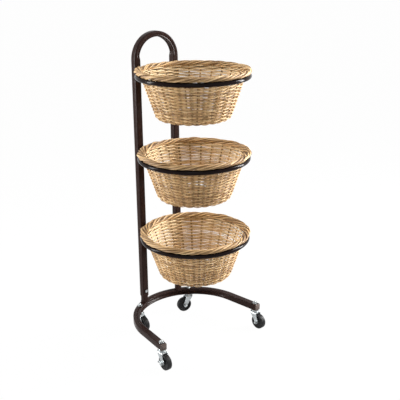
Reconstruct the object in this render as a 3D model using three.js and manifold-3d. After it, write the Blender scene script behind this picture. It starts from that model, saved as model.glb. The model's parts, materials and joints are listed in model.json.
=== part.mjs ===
// Three-tier bread rack: round wicker baskets hang by their rims in rings on a bent tube stand with casters.
// Millimetres, +Z up, -Y to the open front of the horseshoe base, floor at Z = 0.

import * as THREE from 'three';
import { mergeVertices } from 'three/addons/utils/BufferGeometryUtils.js';
import Module from 'manifold-3d';

const wasm = await Module();
wasm.setup();

// Clearances
const SEAT_GAP = 0.3;
const RUN_GAP = 0.3;
const CUT_PAST = 1;

// Steps in a round corner and in a round eye
const CORNER_ARC_STEPS = 1;
const EYE_ARC_STEPS = 4;

// Square tube of the stand and how it folds in on the inside of a bend
const TUBE = 25.4;
const TUBE_WALL = 2;
const TUBE_CORNER = 3;
const RIB_WIDTH = 4.5;
const VALLEY_WIDTH = 4;
const SHOULDER_HEIGHT = 6;
const SHOULDER_SHARE = 0.15;
const HOOP_BEND = { push: 5, groove: 3, valley: 1.4 };
const BASE_BEND = { push: 0.8, groove: 6, valley: 1.8 };
const BEND_STEP = THREE.MathUtils.degToRad(9);
const CRUSH_RAMP = THREE.MathUtils.degToRad(12);

// Hoop and its two posts
const HOOP_HEIGHT = 1163.5;
const HOOP_SPACING = 172.8;
const HOOP_FOOT_RISE = 27;
const POST_HEIGHT = 80;
const POST_WALL = 2.2;
const POST_BOLT_RISE = 50;

// Horseshoe base
const BASE_RADIUS = 221;
const BASE_HALF_ANGLE = THREE.MathUtils.degToRad(83.4);
const LEG_LENGTH = 142.5;
const PLUG_FLANGE = 2.5;
const PLUG_DEPTH = 8;
const PLUG_BEVEL = 0.8;

// Basket rings and the plates that bolt them to the hoop
const RING_RADIUS = 196;
const RING_BAR = 16;
const RING_SEGMENTS = 36;
const RING_SIDES = 8;
const RING_HEIGHTS = { top: 1026, middle: 731, bottom: 425 };
const PLATE_THICKNESS = 3;
const PLATE_ABOVE = 6;
const PLATE_BELOW = 34;
const PLATE_CORNER = 6;
const PLATE_END_INSET = 2;
const RING_BOLT_DROP = 18;

// Fasteners
const BOLT_DIAMETER = 6;
const BOLT_HOLE_PLAY = 0.3;
const BOLT_HEAD_ACROSS = 11;
const BOLT_HEAD_HEIGHT = 4;
const NUT_HEIGHT = 5;
const BOLT_TIP = 3;
const BOLT_SIDES = 8;

// Wicker basket shell, heights from its ring's centre
const BASKET_DEPTH = 152;
const BASKET_FLOOR_RADIUS = 116;
const BASKET_CORNER = 24;
const BASKET_WALL = 5;
const BASKET_FLOOR = 7;
const RIM_HEIGHT = 19;
const RIM_INNER_OVERLAP = 9;
const RIM_OUTER_INSET = 0.5;
const BASKET_SEGMENTS = 30;
const CORNER_STEPS = 3;
const WEAVE_RELIEF = 1.2;
const WEAVE_ROWS = 4;

// Casters
const WHEEL_DIAMETER = 60;
const WHEEL_SEGMENTS = 20;
const TREAD_WIDTH = 20;
const TREAD_DEPTH = 8;
const TREAD_SHOULDER = 2;
const HUB_WIDTH = 22;
const HUB_RADIUS = 9;
const WEB_WIDTH = 13;
const AXLE_DIAMETER = 8;
const AXLE_TIP = 24;
const AXLE_NUT_ACROSS = 13;
const CASTER_TRAIL = 22;
const FORK_SHEET = 2.5;
const FORK_HEADROOM = 4;
const FORK_BACK = 13;
const FORK_FRONT = 17;
const FORK_EYE = 8;
const STEM_DIAMETER = 9.5;
const STEM_HEAD_RADIUS = 8;
const STEM_HEAD_HEIGHT = 2.5;
const STEM_NUT_ACROSS = 16;
const STEM_NUT_HEIGHT = 6;
const STEM_TIP = 3;
const RACE_RADIUS = 16;
const RACE_NECK = 12.5;
const RACE_HEIGHT = 8;
const RACE_LIP = 2.2;
const RACE_SEGMENTS = 12;
const STEM_FROM_LEG_END = 13;
const REAR_STEM_ANGLE = THREE.MathUtils.degToRad(34.5);
const FRONT_SPLAY = THREE.MathUtils.degToRad(2.5);
const REAR_RIGHT_HEADING = THREE.MathUtils.degToRad(-104.5);

// Brake rocker on the front left caster
const ROCKER_SHEET = 2.5;
const ROCKER_ARM = 21;
const ROCKER_ARM_WIDTH = 7;
const ROCKER_RISE = THREE.MathUtils.degToRad(24);
const ROCKER_TIP = THREE.MathUtils.degToRad(27);
const ROCKER_EYE = 7;
const ROCKER_PEDAL = 5.5;
const ROCKER_PEDAL_SHEET = 2;

// Places that follow from the sizes above
const HALF_TUBE = TUBE / 2;
const HALF_SPACING = HOOP_SPACING / 2;
const WHEEL_RADIUS = WHEEL_DIAMETER / 2;
const AXLE_HEIGHT = WHEEL_RADIUS * Math.cos(Math.PI / WHEEL_SEGMENTS);
const BRIDGE_UNDER = AXLE_HEIGHT + WHEEL_RADIUS + FORK_HEADROOM;
const BRIDGE_TOP = BRIDGE_UNDER + FORK_SHEET;
const RACE_UNDER = BRIDGE_TOP + RUN_GAP;
const BASE_UNDER = RACE_UNDER + RACE_HEIGHT + SEAT_GAP;
const BASE_MIDDLE = BASE_UNDER + HALF_TUBE;
const BASE_TOP = BASE_UNDER + TUBE;
const RING_OUTER = RING_RADIUS + RING_BAR / 2;
const PLATE_FRONT = RING_OUTER + SEAT_GAP;
const PLATE_REAR = PLATE_FRONT + PLATE_THICKNESS;
const HOOP_FRONT = PLATE_REAR + SEAT_GAP;
const HOOP_PLANE = HOOP_FRONT + HALF_TUBE;
const HOOP_REAR = HOOP_FRONT + TUBE;
const ARC_CENTRE = HOOP_PLANE - Math.sqrt(BASE_RADIUS ** 2 - HALF_SPACING ** 2);
const STAND_REAR = ARC_CENTRE + BASE_RADIUS + HALF_TUBE;
const FORK_INNER = HUB_WIDTH / 2 + RUN_GAP;
const FORK_OUTER = FORK_INNER + FORK_SHEET;
const BOLT_HOLE = BOLT_DIAMETER / 2 + BOLT_HOLE_PLAY;
const STEM_HOLE = STEM_DIAMETER / 2 + RUN_GAP;
const AXLE_HOLE = AXLE_DIAMETER / 2 + RUN_GAP;

// Finishes
const brownPaint = new THREE.MeshStandardMaterial({ color: 0x3a2a26, roughness: 0.35, metalness: 0.3 });
const blackPaint = new THREE.MeshStandardMaterial({ color: 0x1d1615, roughness: 0.25, metalness: 0.3 });
const zincPlate = new THREE.MeshStandardMaterial({ color: 0xc4cccb, roughness: 0.3, metalness: 0.9 });
const blackRubber = new THREE.MeshStandardMaterial({ color: 0x222224, roughness: 0.6, metalness: 0 });
const brownPlastic = new THREE.MeshStandardMaterial({ color: 0x4a3a33, roughness: 0.5, metalness: 0 });
const honeyWicker = new THREE.MeshStandardMaterial({ color: 0xc8a578, roughness: 0.7, metalness: 0 });

// Makes a solid of a closed geometry, with merged corners and its faces turned outwards.
function solidOf(geometry) {
  const bare = geometry.clone();
  bare.deleteAttribute('normal');
  bare.deleteAttribute('uv');
  const merged = mergeVertices(bare, 1e-3);
  const vertProperties = Float32Array.from(merged.attributes.position.array);
  const corner = (i) => new THREE.Vector3().fromArray(vertProperties, 3 * i);
  const faces = [];
  let volume = 0;
  for (let i = 0; i < merged.index.count; i += 3) {
    const face = [0, 1, 2].map((k) => merged.index.getX(i + k));
    if (new Set(face).size === 3) {
      faces.push(face);
      volume += corner(face[0]).dot(corner(face[1]).cross(corner(face[2])));
    }
  }
  const turned = volume < 0 ? faces.map(([a, b, c]) => [a, c, b]) : faces;
  const triVerts = Uint32Array.from(turned.flat());
  return new wasm.Manifold(new wasm.Mesh({ numProp: 3, vertProperties, triVerts }));
}

// Makes a named mesh of a solid.
function meshOf(name, solid, material) {
  const { vertProperties, triVerts } = solid.getMesh();
  const geometry = new THREE.BufferGeometry();
  geometry.setAttribute('position', new THREE.BufferAttribute(Float32Array.from(vertProperties), 3));
  geometry.setIndex(new THREE.BufferAttribute(Uint32Array.from(triVerts), 1));
  geometry.computeVertexNormals();
  const mesh = new THREE.Mesh(geometry, material);
  mesh.name = name;
  return mesh;
}

// Skins a closed body over a row of stations, each with a centre, an outward and a side direction.
function loft(stations, sectionOf) {
  const rings = stations.map((station) => sectionOf(station.crush).map(([out, side]) => station.centre
    .clone()
    .addScaledVector(station.out, out)
    .addScaledVector(station.side, side)));
  const count = rings[0].length;
  const last = (rings.length - 1) * count;
  const index = [];
  for (let i = 0; i < last; i += count) {
    for (let j = 0; j < count; j += 1) {
      const k = (j + 1) % count;
      index.push(i + j, i + k, i + count + k, i + j, i + count + k, i + count + j);
    }
  }
  for (let j = 1; j < count - 1; j += 1) {
    index.push(0, j + 1, j, last, last + j, last + j + 1);
  }
  const geometry = new THREE.BufferGeometry();
  const positions = rings.flat().flatMap((point) => point.toArray());
  geometry.setAttribute('position', new THREE.Float32BufferAttribute(positions, 3));
  geometry.setIndex(index);
  return solidOf(geometry);
}

// Revolves a closed profile of [radius, height] points about Z.
function revolve(profile, segments) {
  const points = profile.map(([radius, height]) => new THREE.Vector2(radius, height));
  points.push(points[0].clone());
  return solidOf(new THREE.LatheGeometry(points, segments).rotateX(Math.PI / 2));
}

// A round or faceted bar along Z between two heights.
function bar(radius, low, high, sides) {
  const geometry = new THREE.CylinderGeometry(radius, radius, high - low, sides);
  return solidOf(geometry.rotateX(Math.PI / 2).translate(0, 0, (low + high) / 2));
}

// A bar along Z to drill with, whose flats lie at the given radius.
function drill(radius, low, high) {
  return bar(radius / Math.cos(Math.PI / BOLT_SIDES), low, high, BOLT_SIDES);
}

// A hexagon bar along Z, given its size across the flats.
function hexagon(across, low, high) {
  return bar(across / Math.sqrt(3), low, high, 6);
}

// Extrudes a flat outline along Z between two heights.
function slab(shape, low, high, curveSegments) {
  const settings = { depth: high - low, bevelEnabled: false, curveSegments };
  return solidOf(new THREE.ExtrudeGeometry(shape, settings).translate(0, 0, low));
}

// A rectangle with round corners about the origin.
function roundedRectangle(width, height, radius) {
  const x = width / 2;
  const y = height / 2;
  const shape = new THREE.Shape();
  shape.absarc(x - radius, y - radius, radius, 0, Math.PI / 2);
  shape.absarc(radius - x, y - radius, radius, Math.PI / 2, Math.PI);
  shape.absarc(radius - x, radius - y, radius, Math.PI, 1.5 * Math.PI);
  shape.absarc(x - radius, radius - y, radius, 1.5 * Math.PI, 2 * Math.PI);
  return shape;
}

// Turns a solid made along Z to point along -Y.
function towardsFront(solid) {
  return solid.rotate([90, 0, 0]);
}

// Turns a solid made along Z to point along +X, with its local X pointing down.
function towardsRight(solid) {
  return solid.rotate([0, 90, 0]);
}

// The tube's outline at a bend: the inside wall is pushed in, grooved, and left with a rib at each side.
function tubeOutline(crush, bend) {
  const half = HALF_TUBE;
  const cut = TUBE_CORNER * (1 - Math.SQRT1_2);
  const inside = crush * bend.push - half;
  const rib = inside + TUBE_CORNER;
  const valley = rib + RIB_WIDTH;
  const upper = [
    [half, half - TUBE_CORNER],
    [half - cut, half - cut],
    [half - TUBE_CORNER, half],
    [valley + VALLEY_WIDTH, half],
    [valley, half - crush * bend.valley],
    [rib, half],
    [inside + cut, half - cut],
    [inside, half - TUBE_CORNER],
    [inside + crush * bend.groove * SHOULDER_SHARE, SHOULDER_HEIGHT],
  ];
  const lower = upper.map(([out, side]) => [out, -side]).reverse();
  return [...upper, [inside + crush * bend.groove, 0], ...lower];
}

// The tube's bore, which narrows where the bend folds its walls in.
function boreOutline(crush, bend) {
  const outside = HALF_TUBE - TUBE_WALL;
  const inside = crush * (bend.push + bend.groove) - outside;
  const side = outside - crush * bend.valley;
  return [[outside, -side], [outside, side], [inside, side], [inside, -side]];
}

// Stations along a bend between two straight runs, in the plane of the two given directions.
function bentRun({ centre, right, away, side, radius, halfAngle, straight }) {
  const station = (angle, along, crush) => {
    const out = right.clone().multiplyScalar(Math.sin(angle)).addScaledVector(away, Math.cos(angle));
    const ahead = right.clone().multiplyScalar(Math.cos(angle)).addScaledVector(away, -Math.sin(angle));
    const place = centre.clone().addScaledVector(out, radius).addScaledVector(ahead, along);
    return { centre: place, out, side, crush };
  };
  const steps = 2 * Math.round(halfAngle / BEND_STEP);
  const bend = [];
  for (let i = 0; i <= steps; i += 1) {
    const angle = halfAngle * ((2 * i) / steps - 1);
    const crush = Math.min(1, (halfAngle - Math.abs(angle)) / CRUSH_RAMP);
    bend.push(station(angle, 0, crush));
  }
  return [station(-halfAngle, -straight, 0), ...bend, station(halfAngle, straight, 0)];
}

// A hollow bent tube: the outer skin less its bore, which runs out of both ends.
function bentTube(run, bend) {
  const skin = loft(bentRun(run), (crush) => tubeOutline(crush, bend));
  const longer = { ...run, straight: run.straight + CUT_PAST };
  const bore = loft(bentRun(longer), (crush) => boreOutline(crush, bend));
  return skin.subtract(bore);
}

const stand = new THREE.Group();
stand.position.y = (RING_OUTER - STAND_REAR) / 2;

// Sides of the stand, the rear stems and the leg ends
const sides = [['left', -1], ['right', 1]];
const legEnd = (sign, back) => {
  const along = LEG_LENGTH - back;
  const x = BASE_RADIUS * Math.sin(BASE_HALF_ANGLE) + along * Math.cos(BASE_HALF_ANGLE);
  const y = ARC_CENTRE + BASE_RADIUS * Math.cos(BASE_HALF_ANGLE) - along * Math.sin(BASE_HALF_ANGLE);
  return new THREE.Vector2(sign * x, y);
};
const onArc = (sign, angle) => new THREE.Vector2(
  sign * BASE_RADIUS * Math.sin(angle),
  ARC_CENTRE + BASE_RADIUS * Math.cos(angle),
);
const casters = [
  { name: 'front_left', place: legEnd(-1, STEM_FROM_LEG_END), heading: -FRONT_SPLAY, outer: -1, brake: true },
  { name: 'front_right', place: legEnd(1, STEM_FROM_LEG_END), heading: FRONT_SPLAY, outer: 1, brake: false },
  { name: 'rear_left', place: onArc(-1, REAR_STEM_ANGLE), heading: 0, outer: -1, brake: false },
  { name: 'rear_right', place: onArc(1, REAR_STEM_ANGLE), heading: REAR_RIGHT_HEADING, outer: -1, brake: false },
];

// Horseshoe base, drilled for the caster stems
function baseTube() {
  const run = {
    centre: new THREE.Vector3(0, ARC_CENTRE, BASE_MIDDLE),
    right: new THREE.Vector3(1, 0, 0),
    away: new THREE.Vector3(0, 1, 0),
    side: new THREE.Vector3(0, 0, 1),
    radius: BASE_RADIUS,
    halfAngle: BASE_HALF_ANGLE,
    straight: LEG_LENGTH,
  };
  const hole = drill(STEM_HOLE, BASE_UNDER - CUT_PAST, BASE_TOP + CUT_PAST);
  return casters.reduce(
    (tube, { place }) => tube.subtract(hole.translate([place.x, place.y, 0])),
    bentTube(run, BASE_BEND),
  );
}
stand.add(meshOf('base_tube', baseTube(), brownPaint));

// Square plugs in the two leg ends: a bevelled flange outside and a block inside the bore
function endPlug() {
  const bevel = { bevelThickness: PLUG_BEVEL, bevelSize: PLUG_BEVEL, bevelOffset: -PLUG_BEVEL, bevelSegments: 1 };
  const settings = { depth: PLUG_FLANGE - PLUG_BEVEL, curveSegments: CORNER_ARC_STEPS, ...bevel };
  const flange = new THREE.ExtrudeGeometry(roundedRectangle(TUBE, TUBE, TUBE_CORNER), settings);
  const trimmed = solidOf(flange.translate(0, 0, SEAT_GAP)).trimByPlane([0, 0, 1], SEAT_GAP);
  const inner = TUBE - 2 * TUBE_WALL - 2 * SEAT_GAP;
  const block = new THREE.BoxGeometry(inner, inner, PLUG_DEPTH + PLUG_FLANGE);
  const insert = solidOf(block.translate(0, 0, (PLUG_FLANGE - PLUG_DEPTH) / 2));
  return towardsFront(trimmed.add(insert));
}
for (const [name, sign] of sides) {
  const plug = meshOf(`base_plug_${name}`, endPlug(), brownPlastic);
  const place = legEnd(sign, 0);
  plug.position.set(place.x, place.y, BASE_MIDDLE);
  plug.rotation.z = sign * (Math.PI / 2 - BASE_HALF_ANGLE);
  stand.add(plug);
}

// Posts welded on the base, over which the feet of the hoop slide
function post() {
  const width = TUBE - 2 * TUBE_WALL - 2 * SEAT_GAP;
  const outline = roundedRectangle(width, width, TUBE_CORNER - TUBE_WALL);
  const hollow = width - 2 * POST_WALL;
  const hollowOutline = roundedRectangle(hollow, hollow, TUBE_CORNER - TUBE_WALL);
  const bore = slab(hollowOutline, -CUT_PAST, POST_HEIGHT + CUT_PAST, CORNER_ARC_STEPS);
  const hole = towardsFront(drill(BOLT_HOLE, -TUBE, TUBE)).translate([0, 0, POST_BOLT_RISE]);
  return slab(outline, SEAT_GAP, POST_HEIGHT, CORNER_ARC_STEPS).subtract(bore).subtract(hole);
}
for (const [name, sign] of sides) {
  const mesh = meshOf(`hoop_post_${name}`, post(), brownPaint);
  mesh.position.set(sign * HALF_SPACING, HOOP_PLANE, BASE_TOP);
  stand.add(mesh);
}

// Hoop: both uprights and the arch in one tube, drilled for the post bolts and the ring bolts
function hoopTube() {
  const springing = HOOP_HEIGHT - HALF_TUBE - HALF_SPACING;
  const run = {
    centre: new THREE.Vector3(0, HOOP_PLANE, springing),
    right: new THREE.Vector3(1, 0, 0),
    away: new THREE.Vector3(0, 0, 1),
    side: new THREE.Vector3(0, -1, 0),
    radius: HALF_SPACING,
    halfAngle: Math.PI / 2,
    straight: springing - BASE_TOP - HOOP_FOOT_RISE,
  };
  const hole = towardsFront(drill(BOLT_HOLE, -TUBE, TUBE));
  const ringBolts = Object.values(RING_HEIGHTS).map((height) => height - RING_BOLT_DROP);
  const levels = [BASE_TOP + POST_BOLT_RISE, ...ringBolts];
  const places = levels.flatMap((level) => sides.map(([, sign]) => [sign * HALF_SPACING, HOOP_PLANE, level]));
  return places.reduce((tube, place) => tube.subtract(hole.translate(place)), bentTube(run, HOOP_BEND));
}
stand.add(meshOf('hoop', hoopTube(), brownPaint));

// A bolt along -Y with its hexagon head in front of the given face and its tip behind the far one
function bolt(front, rear) {
  const head = hexagon(BOLT_HEAD_ACROSS, -front + SEAT_GAP, -front + SEAT_GAP + BOLT_HEAD_HEIGHT);
  const tip = -rear - SEAT_GAP - NUT_HEIGHT - BOLT_TIP;
  const shank = bar(BOLT_DIAMETER / 2, tip, -front + SEAT_GAP + BOLT_HEAD_HEIGHT / 2, BOLT_SIDES);
  return towardsFront(head.add(shank));
}

// A nut behind a face that looks along +Y
function nut(rear) {
  const low = -rear - SEAT_GAP - NUT_HEIGHT;
  const blank = hexagon(BOLT_HEAD_ACROSS, low, low + NUT_HEIGHT);
  return towardsFront(blank.subtract(drill(BOLT_HOLE, low - CUT_PAST, low + NUT_HEIGHT + CUT_PAST)));
}

// Post bolts, each with its nut tight on the thread behind the upright
for (const [name, sign] of sides) {
  const place = [sign * HALF_SPACING, 0, BASE_TOP + POST_BOLT_RISE];
  const low = -HOOP_REAR - SEAT_GAP - NUT_HEIGHT;
  const tightNut = towardsFront(hexagon(BOLT_HEAD_ACROSS, low, low + NUT_HEIGHT));
  const joined = bolt(HOOP_FRONT, HOOP_REAR).add(tightNut);
  stand.add(meshOf(`post_bolt_${name}`, joined.translate(place), zincPlate));
}

// Plate across both uprights that carries a ring
function ringPlate() {
  const width = HOOP_SPACING + TUBE - 2 * PLATE_END_INSET;
  const outline = roundedRectangle(width, PLATE_ABOVE + PLATE_BELOW, PLATE_CORNER);
  const flat = towardsFront(slab(outline, -PLATE_REAR, -PLATE_FRONT, CORNER_ARC_STEPS));
  const placed = flat.translate([0, 0, (PLATE_ABOVE - PLATE_BELOW) / 2]);
  const hole = towardsFront(drill(BOLT_HOLE, -PLATE_REAR - CUT_PAST, CUT_PAST - PLATE_FRONT));
  return sides.reduce(
    (plate, [, sign]) => plate.subtract(hole.translate([sign * HALF_SPACING, 0, -RING_BOLT_DROP])),
    placed,
  );
}

// The basket's wall leans out until it nears the ring, and its braided rim lies on top of the ring.
// Where the weave passes before and behind the stakes, the wall swells out and in by turns.
function basketShell() {
  const ringInner = RING_RADIUS - RING_BAR / 2;
  const rimUnder = RING_BAR / 2 + SEAT_GAP;
  const rimTop = rimUnder + RIM_HEIGHT;
  const rimOuter = RING_OUTER - RIM_OUTER_INSET;
  const rimInner = ringInner - RIM_INNER_OVERLAP;
  const neck = ringInner - 2 * SEAT_GAP;
  const floor = -BASKET_DEPTH;
  const lean = Math.atan2(neck - BASKET_FLOOR_RADIUS - BASKET_CORNER, BASKET_DEPTH - BASKET_CORNER);
  const corner = [];
  for (let i = 0; i <= CORNER_STEPS; i += 1) {
    const turn = (i / CORNER_STEPS) * (Math.PI / 2 - lean);
    corner.push([
      BASKET_FLOOR_RADIUS + BASKET_CORNER * Math.sin(turn),
      floor + BASKET_CORNER * (1 - Math.cos(turn)),
    ]);
  }
  const corners = corner.slice(0, CORNER_STEPS);
  const wallFoot = corner[CORNER_STEPS];
  const wall = [];
  for (let i = 0; i < WEAVE_ROWS; i += 1) {
    const share = i / WEAVE_ROWS;
    const radius = THREE.MathUtils.lerp(wallFoot[0], neck, share) - WEAVE_RELIEF;
    wall.push([radius, wallFoot[1] * (1 - share)]);
  }
  const outer = [
    [0, floor],
    ...corners,
    ...wall,
    [neck - WEAVE_RELIEF, 0],
    [neck + RING_BAR / 8, rimUnder],
    [rimOuter - RIM_HEIGHT / 6, rimUnder],
    [rimOuter, rimUnder + RIM_HEIGHT / 3],
    [rimOuter - RIM_HEIGHT / 5, rimTop - RIM_HEIGHT / 5],
    [(rimOuter + rimInner) / 2, rimTop],
    [rimInner, rimTop - RIM_HEIGHT / 4],
  ];
  const lining = wall.map(([radius, height]) => [radius - BASKET_WALL, height]).reverse();
  const inner = [
    [neck - WEAVE_RELIEF - BASKET_WALL, 0],
    ...lining,
    [BASKET_FLOOR_RADIUS, floor + BASKET_FLOOR],
    [0, floor + BASKET_FLOOR],
  ];
  const profile = [...outer, ...inner];
  const woven = new Map();
  wall.forEach((point, row) => woven.set(profile.indexOf(point), row));
  lining.forEach((point, row) => woven.set(profile.indexOf(point), WEAVE_ROWS - 1 - row));
  return solidOf(wovenLathe(profile, woven));
}

// Revolves a closed profile about Z and swells its woven rows out and in from one stake to the next.
function wovenLathe(profile, woven) {
  const points = profile.map(([radius, height]) => new THREE.Vector2(radius, height));
  points.push(points[0].clone());
  const geometry = new THREE.LatheGeometry(points, BASKET_SEGMENTS).rotateX(Math.PI / 2);
  const { position } = geometry.attributes;
  for (let i = 0; i < position.count; i += 1) {
    const row = woven.get(i % points.length);
    if (row !== undefined) {
      const column = Math.floor(i / points.length);
      const radius = Math.hypot(position.getX(i), position.getY(i));
      const scale = 1 + ((column + row) % 2 === 0 ? WEAVE_RELIEF : -WEAVE_RELIEF) / radius;
      position.setXY(i, position.getX(i) * scale, position.getY(i) * scale);
    }
  }
  return geometry;
}

for (const [name, height] of Object.entries(RING_HEIGHTS)) {
  const tier = new THREE.Group();
  tier.position.z = height;
  const torus = new THREE.TorusGeometry(RING_RADIUS, RING_BAR / 2, RING_SIDES, RING_SEGMENTS);
  tier.add(meshOf(`ring_${name}`, solidOf(torus), blackPaint));
  tier.add(meshOf(`ring_plate_${name}`, ringPlate(), blackPaint));
  tier.add(meshOf(`basket_${name}`, basketShell(), honeyWicker));
  for (const [side, sign] of sides) {
    const place = [sign * HALF_SPACING, 0, -RING_BOLT_DROP];
    tier.add(meshOf(`ring_bolt_${name}_${side}`, bolt(PLATE_FRONT, HOOP_REAR).translate(place), zincPlate));
    tier.add(meshOf(`ring_nut_${name}_${side}`, nut(HOOP_REAR).translate(place), zincPlate));
  }
  stand.add(tier);
}

// Stem: a stud through the base with a round head that carries the fork
function casterStem() {
  const headTop = BRIDGE_UNDER - RUN_GAP;
  const tip = BASE_TOP + SEAT_GAP + STEM_NUT_HEIGHT + STEM_TIP;
  const head = bar(STEM_HEAD_RADIUS, headTop - STEM_HEAD_HEIGHT, headTop, BOLT_SIDES);
  return head.add(bar(STEM_DIAMETER / 2, headTop - STEM_HEAD_HEIGHT / 2, tip, BOLT_SIDES));
}

// Nut of the stem on top of the base
function stemNut() {
  const low = BASE_TOP + SEAT_GAP;
  const hole = drill(STEM_HOLE, low - CUT_PAST, low + STEM_NUT_HEIGHT + CUT_PAST);
  return hexagon(STEM_NUT_ACROSS, low, low + STEM_NUT_HEIGHT).subtract(hole);
}

// Raceway cup between the base and the fork
function raceCup() {
  const bore = STEM_HOLE;
  const top = RACE_UNDER + RACE_HEIGHT;
  const profile = [
    [bore, RACE_UNDER],
    [RACE_RADIUS, RACE_UNDER],
    [RACE_RADIUS, RACE_UNDER + RACE_LIP],
    [RACE_NECK, RACE_UNDER + 2 * RACE_LIP],
    [RACE_NECK, top],
    [bore, top],
  ];
  return revolve(profile, RACE_SEGMENTS);
}

// Where a line from a point touches a circle, on the side given by the sign
function touchPoint(point, centre, radius, sign) {
  const apart = centre.clone().sub(point);
  const turn = apart.angle() + sign * Math.asin(radius / apart.length());
  const reach = Math.sqrt(apart.lengthSq() - radius ** 2);
  return new THREE.Vector2(Math.cos(turn), Math.sin(turn)).multiplyScalar(reach).add(point);
}

// Fork: two tapered legs with round eyes under a bridge, in the plane of trail and height
function casterFork() {
  const eye = new THREE.Vector2(CASTER_TRAIL, AXLE_HEIGHT);
  const back = touchPoint(new THREE.Vector2(-FORK_BACK, BRIDGE_TOP), eye, FORK_EYE, -1);
  const front = touchPoint(new THREE.Vector2(FORK_FRONT, BRIDGE_TOP), eye, FORK_EYE, 1);
  const leg = new THREE.Shape();
  leg.moveTo(FORK_FRONT, BRIDGE_TOP);
  leg.lineTo(-FORK_BACK, BRIDGE_TOP);
  leg.lineTo(back.x, back.y);
  leg.absarc(eye.x, eye.y, FORK_EYE, back.clone().sub(eye).angle(), front.clone().sub(eye).angle());
  leg.closePath();
  const upright = (solid) => solid.rotate([90, 0, 0]).rotate([0, 0, -90]);
  const near = upright(slab(leg, FORK_INNER, FORK_OUTER, EYE_ARC_STEPS));
  const far = upright(slab(leg, -FORK_OUTER, -FORK_INNER, EYE_ARC_STEPS));
  const plate = new THREE.BoxGeometry(2 * FORK_OUTER, FORK_BACK + FORK_FRONT, FORK_SHEET);
  const bridge = solidOf(plate.translate(0, (FORK_BACK - FORK_FRONT) / 2, (BRIDGE_UNDER + BRIDGE_TOP) / 2));
  const pivot = drill(STEM_HOLE, BRIDGE_UNDER - CUT_PAST, BRIDGE_TOP + CUT_PAST);
  const hole = towardsRight(drill(AXLE_HOLE, -FORK_OUTER - CUT_PAST, FORK_OUTER + CUT_PAST));
  const eyes = hole.translate([0, -CASTER_TRAIL, AXLE_HEIGHT]);
  return near.add(far).add(bridge).subtract(pivot).subtract(eyes);
}

// Axle bolt with a hexagon at each fork leg; the one on the outer side leaves room for the brake rocker
function casterAxle(outer, brake) {
  const room = brake ? ROCKER_SHEET + SEAT_GAP : 0;
  const shank = bar(AXLE_DIAMETER / 2, -AXLE_TIP, AXLE_TIP, BOLT_SIDES);
  const far = hexagon(AXLE_NUT_ACROSS, FORK_OUTER + SEAT_GAP, FORK_OUTER + SEAT_GAP + NUT_HEIGHT);
  const near = far.rotate([180, 0, 0]).translate([0, 0, -room]);
  const across = far.add(near).add(shank);
  const faced = outer < 0 ? across : across.rotate([180, 0, 0]);
  return towardsRight(faced).translate([0, -CASTER_TRAIL, AXLE_HEIGHT]);
}

// Plain wheel with a hub boss, a recessed web and a rounded tread
function casterWheel() {
  const bore = AXLE_HOLE;
  const webRim = WHEEL_RADIUS - TREAD_DEPTH;
  const half = [
    [WHEEL_RADIUS, TREAD_WIDTH / 2 - TREAD_SHOULDER],
    [WHEEL_RADIUS - TREAD_SHOULDER, TREAD_WIDTH / 2],
    [webRim, TREAD_WIDTH / 2],
    [webRim, WEB_WIDTH / 2],
    [HUB_RADIUS, WEB_WIDTH / 2],
    [HUB_RADIUS, HUB_WIDTH / 2],
    [bore, HUB_WIDTH / 2],
  ];
  const mirrored = half.map(([radius, height]) => [radius, -height]).reverse();
  const flatDown = 180 / WHEEL_SEGMENTS;
  const turned = revolve([...half, ...mirrored], WHEEL_SEGMENTS).rotate([0, 0, flatDown]);
  return towardsRight(turned).translate([0, -CASTER_TRAIL, AXLE_HEIGHT]);
}

// Brake rocker: a shallow V on the axle with a pedal turned out at each end
function brakeRocker() {
  const thick = [FORK_OUTER + SEAT_GAP, FORK_OUTER + SEAT_GAP + ROCKER_SHEET];
  const arm = new THREE.BoxGeometry(ROCKER_ARM, ROCKER_ARM_WIDTH, ROCKER_SHEET);
  const middle = (thick[0] + thick[1]) / 2;
  const pedal = new THREE.BoxGeometry(ROCKER_PEDAL_SHEET, ROCKER_ARM_WIDTH, ROCKER_PEDAL);
  const flat = solidOf(arm.translate(ROCKER_ARM / 2, 0, middle));
  const foot = solidOf(pedal.translate(ROCKER_ARM - ROCKER_PEDAL_SHEET / 2, 0, thick[0] + ROCKER_PEDAL / 2));
  const wing = flat.add(foot);
  const rise = THREE.MathUtils.radToDeg(ROCKER_RISE);
  const tip = THREE.MathUtils.radToDeg(ROCKER_TIP);
  const wings = wing.rotate([0, 0, rise]).add(wing.rotate([0, 0, 180 - rise])).rotate([0, 0, tip]);
  const eye = bar(ROCKER_EYE, thick[0], thick[1], BOLT_SIDES);
  const hole = drill(AXLE_HOLE, thick[0] - CUT_PAST, thick[1] + ROCKER_PEDAL);
  const upright = wings.add(eye).subtract(hole).rotate([90, 0, 0]).rotate([0, 0, -90]);
  return upright.translate([0, -CASTER_TRAIL, AXLE_HEIGHT]);
}

for (const { name, place, heading, outer, brake } of casters) {
  const caster = new THREE.Group();
  caster.position.set(place.x, place.y, 0);
  caster.rotation.z = heading;
  caster.add(meshOf(`caster_stem_${name}`, casterStem(), zincPlate));
  caster.add(meshOf(`caster_nut_${name}`, stemNut(), zincPlate));
  caster.add(meshOf(`caster_race_${name}`, raceCup(), zincPlate));
  caster.add(meshOf(`caster_fork_${name}`, casterFork(), zincPlate));
  caster.add(meshOf(`caster_axle_${name}`, casterAxle(outer, brake), zincPlate));
  caster.add(meshOf(`caster_wheel_${name}`, casterWheel(), blackRubber));
  if (brake) {
    caster.add(meshOf(`brake_rocker_${name}`, brakeRocker(), zincPlate));
  }
  stand.add(caster);
}

export default stand;
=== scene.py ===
import json
import logging
import math
from dataclasses import dataclass
from enum import Enum
from typing import Any, Iterable, Protocol, Sequence

import bpy
import numpy as np
from mathutils import Matrix, Vector


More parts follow.
